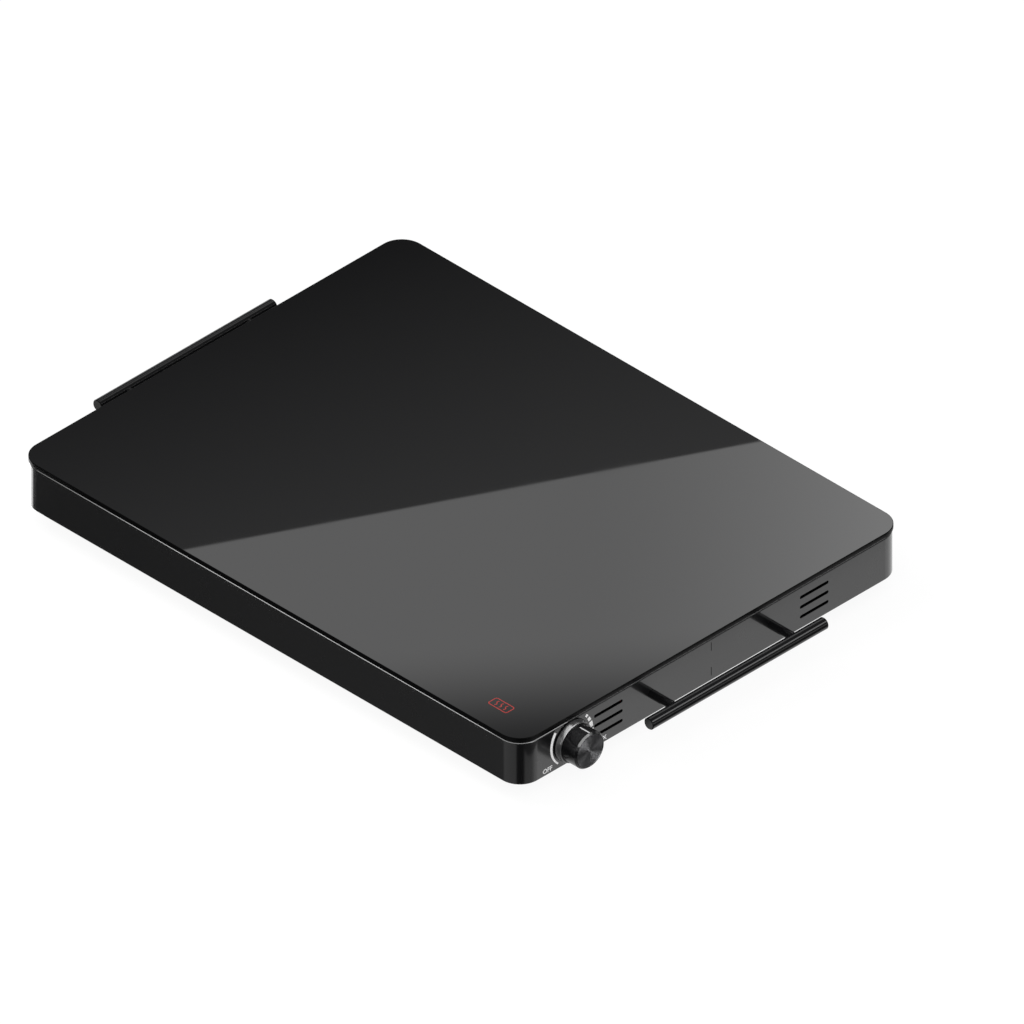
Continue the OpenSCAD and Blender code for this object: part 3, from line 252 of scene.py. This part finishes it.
def finish_of(name, colour, rough, vary=0.15, patch=40.0, grain=900.0, grain_height=0.00001,
              stretch=(1, 1, 1), metallic=0.0, ior=1.5, fleck=None, fleck_scale=300.0):
    """A surface with patchy colour and roughness, and a fine grain in its relief."""
    material, t, shader = principled(name)
    patches = t.noise(patch, 4.0, 0.6)
    fine = t.noise(grain, 3.0, 0.6, stretch)
    tone = t.spread(patches, 0.3, 0.7)
    base = t.mix_colour(tone, rgba(scaled(colour, 1 - vary)), rgba(scaled(colour, 1 + vary)))
    if fleck:
        specks = t.spread(t.noise(fleck_scale, 2.0, 0.5, stretch), 0.58, 0.7)
        base = t.mix_colour(specks, base, rgba(fleck))
    t.link(base, shader.inputs["Base Color"])
    t.link(t.spread(t.math("ADD", t.math("MULTIPLY", patches, 0.5), t.math("MULTIPLY", fine, 0.5)),
                    0.3, 0.7, rough[0], rough[1]), shader.inputs["Roughness"])
    t.link(t.bump(fine, grain_height), shader.inputs["Normal"])
    shader.inputs["Metallic"].default_value = metallic
    shader.inputs["IOR"].default_value = ior
    return material


# ---------------------------------------------------------------- materials
def glass_look():
    """Polished black glass: opaque, with the faintest film and ripple."""
    material, t, shader = principled("black_glass_look")
    film = t.noise(14.0, 5.0, 0.65)
    shader.inputs["Base Color"].default_value = (0.0042, 0.0042, 0.0046, 1)
    t.link(t.spread(film, 0.35, 0.7, 0.006, 0.016), shader.inputs["Roughness"])
    t.link(t.bump(t.noise(9.0, 2.0, 0.4), 0.000004), shader.inputs["Normal"])
    shader.inputs["IOR"].default_value = 1.52
    return material


def edge_look():
    """The glass plate's ground edge: dark and dull, with the grinder's fine grain."""
    return finish_of("ground_edge_look", (0.002, 0.002, 0.0022), (0.34, 0.44), 0.2, 60.0, 1800.0, 0.000003,
                     ior=1.16)


def enamel_look(name, colour, rough, ior, peel=0.000006, coat=0.0, coat_rough=0.08):
    """Baked enamel: a level film with a fine orange peel and a trace of dust, and a gloss coat if asked."""
    material, t, shader = principled(name)
    shader.inputs["Coat Weight"].default_value = coat
    shader.inputs["Coat Roughness"].default_value = coat_rough
    shader.inputs["Coat IOR"].default_value = 1.5
    patches = t.noise(25.0, 4.0, 0.6)
    peeled = t.noise(650.0, 2.0, 0.45)
    dust = t.spread(t.noise(2600.0, 2.0, 0.6), 0.72, 0.8)
    t.link(t.mix_colour(t.math("MULTIPLY", dust, 0.25), rgba(colour), rgba(scaled(colour, 3.5))),
           shader.inputs["Base Color"])
    t.link(t.spread(patches, 0.3, 0.7, rough[0], rough[1]), shader.inputs["Roughness"])
    t.link(t.bump(peeled, peel), shader.inputs["Normal"])
    shader.inputs["IOR"].default_value = ior
    return material


def axis_radius(t):
    """How far a point lies from the knob's axis."""
    split = t.add("ShaderNodeSeparateXYZ")
    t.link(t.add("ShaderNodeTexCoord").outputs["Object"], split.inputs[0])
    across = t.math("SUBTRACT", split.outputs["Y"], DIAL_Y)
    up = t.math("SUBTRACT", split.outputs["Z"], DIAL_Z)
    return t.math("SQRT", t.math("ADD", t.math("MULTIPLY", across, across), t.math("MULTIPLY", up, up)))


def knob_look():
    """The knob's black plastic: a glossy barrel, and a satin skirt of a paler grey."""
    material, t, shader = principled("knob_plastic_look")
    skirt = t.spread(axis_radius(t), SKIRT_FROM, SKIRT_FROM + SKIRT_BLEND)
    patches = t.noise(120.0, 4.0, 0.6)
    fine = t.noise(2500.0, 3.0, 0.6)
    base = t.mix_colour(skirt, (0.005, 0.005, 0.0055, 1), (0.045, 0.045, 0.046, 1))
    t.link(base, shader.inputs["Base Color"])
    rough = t.spread(patches, 0.3, 0.7, 0.15, 0.2)
    t.link(t.math("ADD", rough, t.math("MULTIPLY", skirt, 0.06)), shader.inputs["Roughness"])
    t.link(t.math("ADD", t.math("MULTIPLY", skirt, 0.35), 1.45), shader.inputs["IOR"])
    t.link(t.bump(fine, 0.000004), shader.inputs["Normal"])
    return material


def spun_look():
    """Dark spun aluminium: rings turned about the knob's axis."""
    material, t, shader = principled("spun_metal_look")
    radius = axis_radius(t)
    rings = t.math("SINE", t.math("MULTIPLY", radius, 2 * math.pi / RING_PITCH))
    shader.inputs["Base Color"].default_value = (0.16, 0.16, 0.165, 1)
    shader.inputs["Metallic"].default_value = 1.0
    t.link(t.spread(rings, -1, 1, 0.30, 0.38), shader.inputs["Roughness"])
    shader.inputs["Anisotropic"].default_value = 0.9
    shader.inputs["Anisotropic Rotation"].default_value = 0.25
    tangent = t.add("ShaderNodeTangent", direction_type="RADIAL", axis="X")
    t.link(tangent.outputs["Tangent"], shader.inputs["Tangent"])
    t.link(t.bump(rings, 0.000012, 0.5), shader.inputs["Normal"])
    return material


def glow_look(name, colour, glow, rough):
    """A plastic or print that gives out its own colour as emission: real light on a lit lamp or sign, a
    painted glow on print.
    """
    material, t, shader = principled(name)
    shade = t.mix_colour(t.spread(t.noise(700.0, 2.0), 0.35, 0.65), rgba(scaled(colour, 0.85)), rgba(colour))
    t.link(shade, shader.inputs["Base Color"])
    t.link(shade, shader.inputs["Emission Color"])
    shader.inputs["Emission Strength"].default_value = glow
    shader.inputs["Roughness"].default_value = rough
    return material


def print_look():
    """White print on the wall, with a painted glow: emission that makes it read brighter than its lighting
    gives.
    """
    return glow_look("wall_print_look", (0.8, 0.8, 0.8), 0.36, 0.45)


def lead_look(name, colour):
    return finish_of(name, colour, (0.35, 0.5), 0.08, 120.0, 1800.0, 0.000008)


looks = {
    "black_glass": glass_look(),
    "seal_silicone": finish_of("seal_silicone_look", (0.012, 0.012, 0.012), (0.5, 0.65), 0.2, 60.0, 1500.0),
    "frame_enamel": enamel_look("frame_enamel_look", (0.005, 0.005, 0.0055), (0.26, 0.31), 1.34,
                                coat=1.0, coat_rough=0.06),
    "pan_enamel": enamel_look("pan_enamel_look", (0.008, 0.008, 0.009), (0.3, 0.4), 1.5, 0.00001),
    "handle_enamel": enamel_look("handle_enamel_look", (0.004, 0.004, 0.0045), (0.13, 0.17), 1.45),
    "foot_rubber": finish_of("foot_rubber_look", (0.018, 0.018, 0.018), (0.6, 0.8), 0.2, 90.0, 2200.0,
                             0.00002),
    "zinc_steel": finish_of("zinc_steel_look", (0.56, 0.57, 0.6), (0.25, 0.42), 0.12, 160.0, 1500.0, 0.000006,
                            metallic=1.0),
    "sheet_aluminium": finish_of("sheet_aluminium_look", (0.74, 0.75, 0.77), (0.28, 0.4), 0.06, 30.0,
                                 1400.0, 0.000006, (0.08, 1, 1), metallic=1.0),
    "mica": finish_of("mica_look", (0.52, 0.41, 0.25), (0.35, 0.55), 0.2, 90.0, 700.0, 0.00001,
                      fleck=(0.75, 0.66, 0.46)),
    "heater_alloy": finish_of("heater_alloy_look", (0.3, 0.29, 0.29), (0.35, 0.5), 0.2, 60.0, 1500.0,
                              0.000006, (0.1, 1, 1), metallic=1.0),
    "blanket_fibre": finish_of("blanket_fibre_look", (0.8, 0.78, 0.71), (0.85, 0.95), 0.1, 60.0, 900.0,
                               0.0002, (1, 0.2, 1)),
    "brass": finish_of("brass_look", (0.72, 0.53, 0.24), (0.22, 0.36), 0.12, 150.0, 1700.0, 0.000006,
                       metallic=1.0),
    "steatite": finish_of("steatite_look", (0.8, 0.77, 0.69), (0.5, 0.65), 0.05, 80.0, 1200.0, 0.00001),
    "blade_copper": finish_of("blade_copper_look", (0.66, 0.38, 0.19), (0.28, 0.4), 0.15, 120.0, 1500.0,
                              0.000005, (1, 0.1, 1), metallic=1.0),
    "bimetal": finish_of("bimetal_look", (0.44, 0.4, 0.34), (0.3, 0.45), 0.15, 120.0, 1500.0, 0.000005,
                         (1, 0.1, 1), metallic=1.0),
    "knob_plastic": knob_look(),
    "spun_metal": spun_look(),
    # the knob's pointer print, with a faint painted glow of its own colour
    "white_ink": glow_look("white_ink_look", (0.62, 0.62, 0.62), 0.05, 0.45),
    "red_film": glow_look("red_film_look", (0.5, 0.02, 0.015), 0.15, 0.35),
    "lamp_plastic": finish_of("lamp_plastic_look", (0.75, 0.75, 0.71), (0.4, 0.55), 0.04, 90.0, 1500.0,
                              0.00001),
    "lamp_glass": glow_look("lamp_glass_look", (0.9, 0.3, 0.14), 0.6, 0.1),
    "gland_plastic": finish_of("gland_plastic_look", (0.016, 0.016, 0.017), (0.42, 0.55), 0.15, 120.0, 1600.0,
                               0.00002),
    "brown_lead": lead_look("brown_lead_look", (0.13, 0.06, 0.03)),
    "red_lead": lead_look("red_lead_look", (0.4, 0.035, 0.03)),
    "blue_lead": lead_look("blue_lead_look", (0.03, 0.1, 0.34)),
    "grey_lead": lead_look("grey_lead_look", (0.28, 0.28, 0.28)),
    "green_lead": lead_look("green_lead_look", (0.05, 0.27, 0.07)),
}
# the wall's white print, brightened by a painted glow
painted_glow_wall_print = print_look()


def dress_nodes():
    """Every CAD node takes the fuller material of its slot."""
    for cad_node in nodes.values():
        for slot in cad_node.material_slots:
            slot.material = looks[slot.material.name.split(".")[0]]


# ---------------------------------------------------------------- mesh helpers
def mesh_piece(name, made, look, body, smooth=False):
    """A finished bmesh as a piece that rides on a body."""
    bmesh.ops.recalc_face_normals(made, faces=made.faces)
    mesh = bpy.data.meshes.new(name)
    made.to_mesh(mesh)
    made.free()
    for face in mesh.polygons:
        face.use_smooth = smooth
    piece = bpy.data.objects.new(name, mesh)
    bpy.context.scene.collection.objects.link(piece)
    mesh.materials.append(look)
    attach(piece, body)
    return piece


def rounded_loop(length, width, radius, steps):
    """The corners of a rounded rectangle as (x, y) points, anticlockwise."""
    points = []
    for quarter, (sx, sy) in enumerate(((1, 1), (-1, 1), (-1, -1), (1, -1))):
        cx, cy = sx * (length / 2 - radius), sy * (width / 2 - radius)
        for i in range(steps + 1):
            a = math.radians(90 * quarter + 90 * i / steps)
            points.append((cx + radius * math.cos(a), cy + radius * math.sin(a)))
    return points


def lofted(rings):
    """A closed solid through rings of equal count, with a cap at each end."""
    made = bmesh.new()
    rows = [[made.verts.new(p) for p in ring] for ring in rings]
    count = len(rows[0])
    for low, high in zip(rows, rows[1:]):
        for i in range(count):
            j = (i + 1) % count
            made.faces.new((low[i], low[j], high[j], high[i]))
    made.faces.new(rows[0][::-1])
    made.faces.new(rows[-1])
    return made


def slab(outline, to_space):
    """A thin solid from a closed outline: to_space(u, v, h) gives the point at height 0 or 1."""
    return lofted([[to_space(u, v, h) for u, v in outline] for h in (0, 1)])


def stroke(points, width):
    """The outline of a stroke of even width along points."""
    left, right = [], []
    for i, p in enumerate(points):
        a, b = points[max(i - 1, 0)], points[min(i + 1, len(points) - 1)]
        way = Vector((b[0] - a[0], b[1] - a[1])).normalized()
        left.append((p[0] - way.y * width / 2, p[1] + way.x * width / 2))
        right.append((p[0] + way.y * width / 2, p[1] - way.x * width / 2))
    return left + right[::-1]


def ring_part(inner, outer, start, end, steps=12):
    """The outline of part of a ring, from its start to its end in degrees."""
    def side(r):
        angles = [math.radians(start + (end - start) * i / steps) for i in range(steps + 1)]
        return [(r * math.cos(a), r * math.sin(a)) for a in angles]
    return side(inner) + side(outer)[::-1]


def joined(parts):
    """One bmesh from several, which it empties."""
    whole = bmesh.new()
    for part in parts:
        bmesh.ops.recalc_face_normals(part, faces=part.faces)
        mesh = bpy.data.meshes.new("part")
        part.to_mesh(mesh)
        part.free()
        whole.from_mesh(mesh)
        bpy.data.meshes.remove(mesh)
    return whole


# ---------------------------------------------------------------- pieces
def glass_plate():
    """The plate: level polished faces, and a ground edge with a rounded arris."""
    corner, lower, upper = 24, 2, 8
    rings = []
    for i in range(lower + 1):
        a = math.radians(90 * i / lower)
        rings.append((GLASS_EASE * (1 - math.sin(a)), GLASS_BOTTOM + GLASS_EASE * (1 - math.cos(a))))
    for i in range(upper + 1):
        a = math.radians(90 * i / upper)
        rings.append((GLASS_ARRIS * (1 - math.cos(a)), GLASS_TOP - GLASS_ARRIS * (1 - math.sin(a))))
    made = lofted([
        [(x, y, z) for x, y in rounded_loop(GLASS_L - 2 * b, GLASS_W - 2 * b, GLASS_R - b, corner)]
        for b, z in rings
    ])
    piece = mesh_piece("glass_plate", made, looks["black_glass"], "tray", smooth=True)
    piece.data.materials.append(edge_look())
    for face in piece.data.polygons:
        level = len(face.vertices) > 4
        face.use_smooth = not level
        face.material_index = 0 if level else 1
    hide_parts("glass_top")


def on_wall(u, v, h):
    """A point of the print on the right wall: u to the rear, v up, from the dial's middle."""
    return (WALL_X + h * PRINT_T, DIAL_Y + u, DIAL_Z + v)


def on_glass(u, v, h):
    """A point of the legend on the glass, from its middle."""
    return (LEGEND_X + u, LEGEND_Y + v, GLASS_TOP + h * LEGEND_T)


def dial_print():
    """The heat scale round the knob: one growing arc, then growing dashes."""
    inside, outside = [], []
    for i in range(ARC_STEPS + 1):
        share = i / ARC_STEPS
        a = math.radians(ARC_FROM + (ARC_TO - ARC_FROM) * share)
        for row, r in ((inside, ARC_INNER + ARC_INNER_GROWTH * share ** 3),
                       (outside, ARC_OUTER + ARC_OUTER_GROWTH * share ** 1.3)):
            row.append((r * MM * math.cos(a), r * MM * math.sin(a)))
    arcs = [inside + outside[::-1]]
    arcs += [ring_part(inner * MM, outer * MM, start, end) for start, end, inner, outer in DASHES]
    mesh_piece("dial_print", joined([slab(a, on_wall) for a in arcs]), painted_glow_wall_print, "tray")


def word(name, text, height, middle_y, middle_z):
    """A word printed on the right wall, read from outside."""
    curve = bpy.data.curves.new(name, "FONT")
    curve.body = text
    curve.size = 1.0
    curve.resolution_u = 4
    curve.offset = LETTER_WEIGHT
    writer = bpy.data.objects.new(name, curve)
    bpy.context.scene.collection.objects.link(writer)
    bpy.context.view_layer.update()
    mesh = bpy.data.meshes.new_from_object(writer)
    bpy.data.objects.remove(writer)
    made = bmesh.new()
    made.from_mesh(mesh)
    bpy.data.meshes.remove(mesh)
    lo = Vector((min(v.co.x for v in made.verts), min(v.co.y for v in made.verts)))
    hi = Vector((max(v.co.x for v in made.verts), max(v.co.y for v in made.verts)))
    mid, size = (lo + hi) / 2, height / (hi.y - lo.y)
    for v in made.verts:
        v.co = (WALL_X, middle_y + (v.co.x - mid.x) * size, middle_z + (v.co.y - mid.y) * size)
    grown = bmesh.ops.extrude_face_region(made, geom=made.faces[:])
    for v in grown["geom"]:
        if isinstance(v, bmesh.types.BMVert):
            v.co.x += PRINT_T
    mesh_piece(name, made, painted_glow_wall_print, "tray")


def legend():
    """The lit sign in the glass: a rounded frame round three rising waves."""
    length, width = LEGEND_L - 2 * LEGEND_MARGIN, LEGEND_W - 2 * LEGEND_MARGIN
    outer = rounded_loop(length, width, LEGEND_R, 8)
    inner = rounded_loop(length - 2 * SIGN_LINE, width - 2 * SIGN_LINE, LEGEND_R - SIGN_LINE, 8)
    made = bmesh.new()
    rows = [[made.verts.new(on_glass(u, v, h)) for u, v in loop] for loop in (outer, inner) for h in (0, 1)]
    count = len(outer)
    for a, b in ((0, 1), (1, 3), (3, 2), (2, 0)):
        for i in range(count):
            j = (i + 1) % count
            made.faces.new((rows[a][i], rows[a][j], rows[b][j], rows[b][i]))
    waves = []
    for x in WAVE_PLACES:
        shares = [i / WAVE_STEPS for i in range(WAVE_STEPS + 1)]
        path = [(x + WAVE_SWING * math.sin(2 * math.pi * share), (share - 0.5) * WAVE_HEIGHT)
                for share in shares]
        waves.append(slab(stroke(path, SIGN_LINE), on_glass))
    look = glow_look("lit_legend", (0.33, 0.03, 0.026), 0.2, 0.4)
    mesh_piece("lit_legend", joined([made] + waves), look, "tray")


# ---------------------------------------------------------------- stage
def staged(name, made, look, glossy_only=False):
    """A finished bmesh as a part of the stage, seen by all or in gloss alone."""
    mesh = bpy.data.meshes.new(name)
    made.to_mesh(mesh)
    made.free()
    thing = bpy.data.objects.new(name, mesh)
    bpy.context.scene.collection.objects.link(thing)
    mesh.materials.append(look)
    if glossy_only:
        thing.visible_camera = False
        thing.visible_diffuse = False
        thing.visible_transmission = False
        thing.visible_volume_scatter = False
        thing.visible_shadow = False
    return thing


def quad(corners):
    made = bmesh.new()
    made.faces.new([made.verts.new(c) for c in corners])
    return made


def emission(name):
    """A material that only shines: its tree, and the strength's socket."""
    material = bpy.data.materials.new(name)
    material.use_nodes = True
    t = Tree(material.node_tree)
    material.node_tree.nodes.clear()
    shine = t.add("ShaderNodeEmission")
    shine.inputs["Color"].default_value = (1, 1, 1, 1)
    t.link(shine.outputs[0], t.add("ShaderNodeOutputMaterial").inputs["Surface"])
    return material, t, shine.inputs["Strength"]


def seen_share(t):
    """1 for rays that the camera, a gloss or a clear surface sends, else 0."""
    path = t.add("ShaderNodeLightPath")
    seen = t.math("MAXIMUM", path.outputs["Is Camera Ray"], path.outputs["Is Glossy Ray"])
    return t.math("MAXIMUM", seen, path.outputs["Is Transmission Ray"])


def floor():
    """The pale floor: white where it is seen, with the object's soft shadow kept, and clear from below."""
    material = bpy.data.materials.new("floor_look")
    material.use_nodes = True
    t = Tree(material.node_tree)
    material.node_tree.nodes.clear()
    plain = t.add("ShaderNodeBsdfDiffuse")
    plain.inputs["Color"].default_value = (FLOOR_SHADE, FLOOR_SHADE, FLOOR_SHADE, 1)
    shine = t.add("ShaderNodeEmission")
    t.link(t.math("MULTIPLY", seen_share(t), FLOOR_SEEN), shine.inputs["Strength"])
    both = t.add("ShaderNodeAddShader")
    t.link(plain.outputs[0], both.inputs[0])
    t.link(shine.outputs[0], both.inputs[1])
    clear = t.add("ShaderNodeMixShader")
    t.link(t.add("ShaderNodeNewGeometry").outputs["Backfacing"], clear.inputs[0])
    t.link(both.outputs[0], clear.inputs[1])
    t.link(t.add("ShaderNodeBsdfTransparent").outputs[0], clear.inputs[2])
    t.link(clear.outputs[0], t.add("ShaderNodeOutputMaterial").inputs["Surface"])
    half = FLOOR_HALF
    staged("floor", quad([(-half, -half, 0), (half, -half, 0), (half, half, 0), (-half, half, 0)]), material)


def world():
    """White where it is seen, and softer where it lights."""
    made = bpy.data.worlds.new("studio")
    bpy.context.scene.world = made
    made.use_nodes = True
    t = Tree(made.node_tree)
    back = made.node_tree.nodes["Background"]
    back.inputs["Color"].default_value = (1, 1, 1, 1)
    t.link(t.spread(seen_share(t), 0, 1, WORLD_LIGHT, 1.0), back.inputs["Strength"])


def place_of(t):
    """A card's own place in the room: x and y."""
    split = t.add("ShaderNodeSeparateXYZ")
    t.link(t.add("ShaderNodeNewGeometry").outputs["Position"], split.inputs[0])
    return split.outputs["X"], split.outputs["Y"]


def ceiling_card():
    """What the glass mirrors: a lit field with a straight edge, a dark field, and strips beside them."""
    material, t, strength = emission("ceiling_card_look")
    x, y = place_of(t)
    u = t.math("ADD", x, CARD_H)
    v = t.math("SUBTRACT", y, CARD_H)

    def plane(a, b, c):
        return t.math("ADD", t.math("ADD", t.math("MULTIPLY", u, a), t.math("MULTIPLY", v, b)), c)

    past_edge = plane(0.8916, -0.4529, -0.01123)
    right_corner = t.math("POWER", t.spread(plane(1, 1, 0), 0.12, 0.45), 1.7)
    bottom_corner = t.spread(plane(1.15, -0.9, 0), 0.29, 0.50, smooth=True)
    lit = t.math("ADD", t.math("MULTIPLY", right_corner, 0.95), 1.42)
    lit = t.math("SUBTRACT", lit, t.math("MULTIPLY", bottom_corner, 1.2))
    dark = t.spread(plane(0.8916 * 0.85, -0.4529 * 0.85 + 0.2, 0.305), 0.06, 0.40, 0.06, 0.40)
    side = t.spread(past_edge, -0.0016, 0.0016, smooth=True)
    unlit = t.math("MULTIPLY", dark, t.math("SUBTRACT", 1.0, side))
    field = t.math("ADD", t.math("MULTIPLY", lit, side), unlit)
    reach = (-CEILING_NEAR, CEILING_NEAR, CEILING_FADE)
    near = t.math("MULTIPLY", t.within(u, *reach), t.within(v, *reach))
    rest = t.math("MULTIPLY", t.math("SUBTRACT", 1.0, near), CEILING_DARK)
    level = t.math("ADD", t.math("MULTIPLY", field, near), rest)
    for along_x, along_y, shine in STRIPS:
        strip = t.math("MULTIPLY", t.within(x, *along_x), t.within(y, *along_y))
        level = t.math("ADD", level, t.math("MULTIPLY", strip, shine))
    t.link(level, strength)
    height = GLASS_TOP + CARD_H
    h = CARD_HALF
    corners = [(-h, -h, height), (-h, h, height), (h, h, height), (h, -h, height)]
    staged("ceiling_card", quad(corners), material, glossy_only=True)


def floor_card():
    """What the walls mirror in the floor: bands that follow the front right corner, and a dark right side."""
    material, t, strength = emission("floor_card_look")
    x, y = place_of(t)
    across, along = t.math("SUBTRACT", x, CORNER_X), t.math("SUBTRACT", y, CORNER_Y)
    turn = t.math("ARCTAN2", along, across)
    for _ in range(4):
        # the wall that faces the plan angle a throws the view on at 45 + 2 a degrees
        facing = t.math("MULTIPLY", t.math("SUBTRACT", turn, math.radians(45)), 0.5)
        facing = t.spread(facing, math.radians(-90), 0.0, math.radians(-90), 0.0)
        from_y = t.math("SUBTRACT", along, t.math("MULTIPLY", t.math("SINE", facing), CORNER_R))
        from_x = t.math("SUBTRACT", across, t.math("MULTIPLY", t.math("COSINE", facing), CORNER_R))
        turn = t.math("ARCTAN2", from_y, from_x)
    degrees = t.math("MULTIPLY", facing, 180 / math.pi)
    level = t.spread(degrees, *FIRST_BAND, smooth=True)
    for start, end, change in CORNER_BANDS:
        level = t.math("ADD", level, t.spread(degrees, start, end, 0.0, change, smooth=True))
    level = t.math("MULTIPLY", level, t.spread(x, -0.3, 0.2, 0.6, 1.0))
    # a patch of painted shade beside the knob: it darkens what the wall round the knob mirrors
    patch = t.math("MULTIPLY", t.within(x, *KNOB_SHADE_PATCH[0]), t.within(y, *KNOB_SHADE_PATCH[1]))
    shade = t.math("MAXIMUM", t.spread(x, FLOOR_WHITE_END, FLOOR_WHITE_END + 0.006), patch)
    level = t.math("MULTIPLY", level, t.spread(shade, 0.0, 1.0, 1.0, FLOOR_DARK))
    # painted shadow under the tray, darkening the mirrored floor there
    under = t.math("MULTIPLY", t.within(x, -UNDER_X, UNDER_X, UNDER_FADE),
                   t.within(y, -UNDER_Y, UNDER_Y, UNDER_FADE))
    level = t.math("MULTIPLY", level, t.spread(under, 0.0, 1.0, 1.0, UNDER_SHADE_SHARE))
    # a lit strip that only the spun cap mirrors, and the lit floor off the front left corner
    strip = t.math("MULTIPLY", t.within(x, *CAP_STRIP[0]), t.within(y, *CAP_STRIP[1]))
    level = t.math("ADD", level, t.math("MULTIPLY", strip, CAP_STRIP[2]))
    facing = math.radians(LEFT_LIT_FROM)
    ahead = math.radians(CAMERA_AZIMUTH + 2 * LEFT_LIT_FROM)
    over = t.math("SUBTRACT", x, -CORNER_X + CORNER_R * math.cos(facing))
    back = t.math("SUBTRACT", y, CORNER_Y + CORNER_R * math.sin(facing))
    left = t.math("SUBTRACT", t.math("MULTIPLY", over, math.sin(ahead)),
                  t.math("MULTIPLY", back, math.cos(ahead)))
    left = t.math("MULTIPLY", t.spread(left, 0.0, 0.002), t.spread(over, -0.002, 0.0, 1.0, 0.0))
    left = t.math("MULTIPLY", left, t.spread(y, *LEFT_LIT_END, 1.0, 0.0))
    level = t.math("ADD", level, t.math("MULTIPLY", left, LEFT_LIT_LEVEL))
    t.link(level, strength)
    h, height = FLOOR_CARD_HALF, FLOOR_CARD_Z
    corners = [(-h, -h, height), (h, -h, height), (h, h, height), (-h, h, height)]
    staged("floor_card", quad(corners), material, glossy_only=True)


def clear_emission(name):
    """A clear material that also shines: its tree, and the strength's socket."""
    material, t, strength = emission(name)
    both = t.add("ShaderNodeAddShader")
    t.link(strength.node.outputs[0], both.inputs[0])
    t.link(t.add("ShaderNodeBsdfTransparent").outputs[0], both.inputs[1])
    t.link(both.outputs[0], material.node_tree.nodes["Material Output"].inputs["Surface"])
    return material, t, strength


def screen(name, rows, look, node):
    """A narrow lit screen through rows of points, which lights one node alone."""
    made = bmesh.new()
    grid = [[made.verts.new(p) for p in row] for row in rows]
    for a, b in zip(grid, grid[1:]):
        for i in range(len(a) - 1):
            made.faces.new((a[i], b[i], b[i + 1], a[i + 1]))
    thing = staged(name, made, look, glossy_only=True)
    lit = bpy.data.collections.new(name + "_lights")
    lit.objects.link(nodes[node])
    thing.light_linking.receiver_collection = lit


def bend_screen():
    """The screen that runs beside the frame's upper bend, along the front wall and round the corner."""
    material, t, strength = clear_emission("bend_screen_look")
    x, y = place_of(t)
    far_left, front, corner = BEND_LEVELS
    level = t.spread(x, *BEND_FADE_IN, far_left, front)
    t.link(t.math("MULTIPLY", level, t.spread(x, *BEND_FADE_OUT, 1.0, corner / front)), strength)
    r = CORNER_R + BEND_GAP
    path = [(-CORNER_X - BEND_GAP, CORNER_Y - r)]
    for i in range(BEND_STEPS + 1):
        a = math.radians(-90 + BEND_STEP * i)
        path.append((CORNER_X + r * math.cos(a), CORNER_Y + r * math.sin(a)))
    path.append((CORNER_X + r, BEND_END))
    rows = [[(*point, height) for height in (BEND_LOW, BEND_HIGH)] for point in path]
    screen("bend_screen", rows, material, "side_frame")


def mirrored(normal):
    """Where a surface that faces along the normal sends the photograph's view."""
    back = Vector((1, -1, 1)).normalized()
    normal = Vector(normal).normalized()
    return 2 * back.dot(normal) * normal - back


def knob_screens():
    """Two small screens over the knob: one for the skirt's cone, one for the bevel of its end."""
    for name, start, end, lean, radius, at_x, far, wide, level in KNOB_SCREENS:
        material, t, strength = clear_emission(name + "_look")
        strength.default_value = level
        rows = []
        for i in range(11):
            a = math.radians(start + (end - start) * i / 10)
            way = mirrored((lean, math.cos(a), math.sin(a)))
            at = Vector((at_x, DIAL_Y + radius * math.cos(a), DIAL_Z + radius * math.sin(a))) + way * far
            side = way.cross(Vector((0, -math.sin(a), math.cos(a)))).normalized() * wide
            rows.append([at - side, at + side])
        screen(name, rows, material, "knob_body")


def box_card(name, centre, toward, width, height, level):
    """A small lit card that faces a point, seen only in gloss."""
    material, t, strength = emission(name + "_look")
    strength.default_value = level
    centre, toward = Vector(centre), Vector(toward)
    out = (toward - centre).normalized()
    side = out.cross(Vector((0, 0, 1))).normalized()
    up = side.cross(out)
    corners = [centre + side * width / 2 * a + up * height / 2 * b
               for a, b in ((-1, -1), (1, -1), (1, 1), (-1, 1))]
    staged(name, quad(corners), material, glossy_only=True)


def lamp(name, place, size, power):
    """A soft square lamp that faces the part's middle, only lights, and isn't mirrored."""
    light = bpy.data.lights.new(name, "AREA")
    light.size = size
    light.energy = power
    thing = bpy.data.objects.new(name, light)
    bpy.context.scene.collection.objects.link(thing)
    thing.location = place
    thing.rotation_mode = "QUATERNION"
    thing.rotation_quaternion = (-Vector(place)).to_track_quat("-Z", "Y")
    thing.visible_glossy = False


def camera():
    """The photograph's view: parallel, from the front right corner and above."""
    a, e = math.radians(CAMERA_AZIMUTH), math.radians(CAMERA_ELEVATION)
    back = Vector((math.sin(a) * math.cos(e), -math.cos(a) * math.cos(e), math.sin(e)))
    right = Vector((math.cos(a), math.sin(a), 0))
    up = back.cross(right)
    data = bpy.data.cameras.new("camera")
    data.type = "ORTHO"
    data.ortho_scale = VIEW_WIDTH
    data.clip_start, data.clip_end = CLIP_NEAR, CLIP_FAR
    thing = bpy.data.objects.new("camera", data)
    bpy.context.scene.collection.objects.link(thing)
    thing.location = right * VIEW_RIGHT + up * VIEW_UP + back * CAMERA_DISTANCE
    thing.rotation_mode = "QUATERNION"
    thing.rotation_quaternion = (-back).to_track_quat("-Z", "Y")
    bpy.context.scene.camera = thing


bpy.context.scene.view_settings.view_transform = "Standard"
dress_nodes()
glass_plate()
dial_print()
for name, text, height, along, up in WORDS:
    word(name, text, height * MM, DIAL_Y + along * MM, DIAL_Z + up * MM)
legend()

floor()
world()
ceiling_card()
floor_card()
bend_screen()
knob_screens()
box_card("cap_card", *CAP_CARD)
for name, place, size, power in LAMPS:
    lamp(name, place, size, power)
camera()
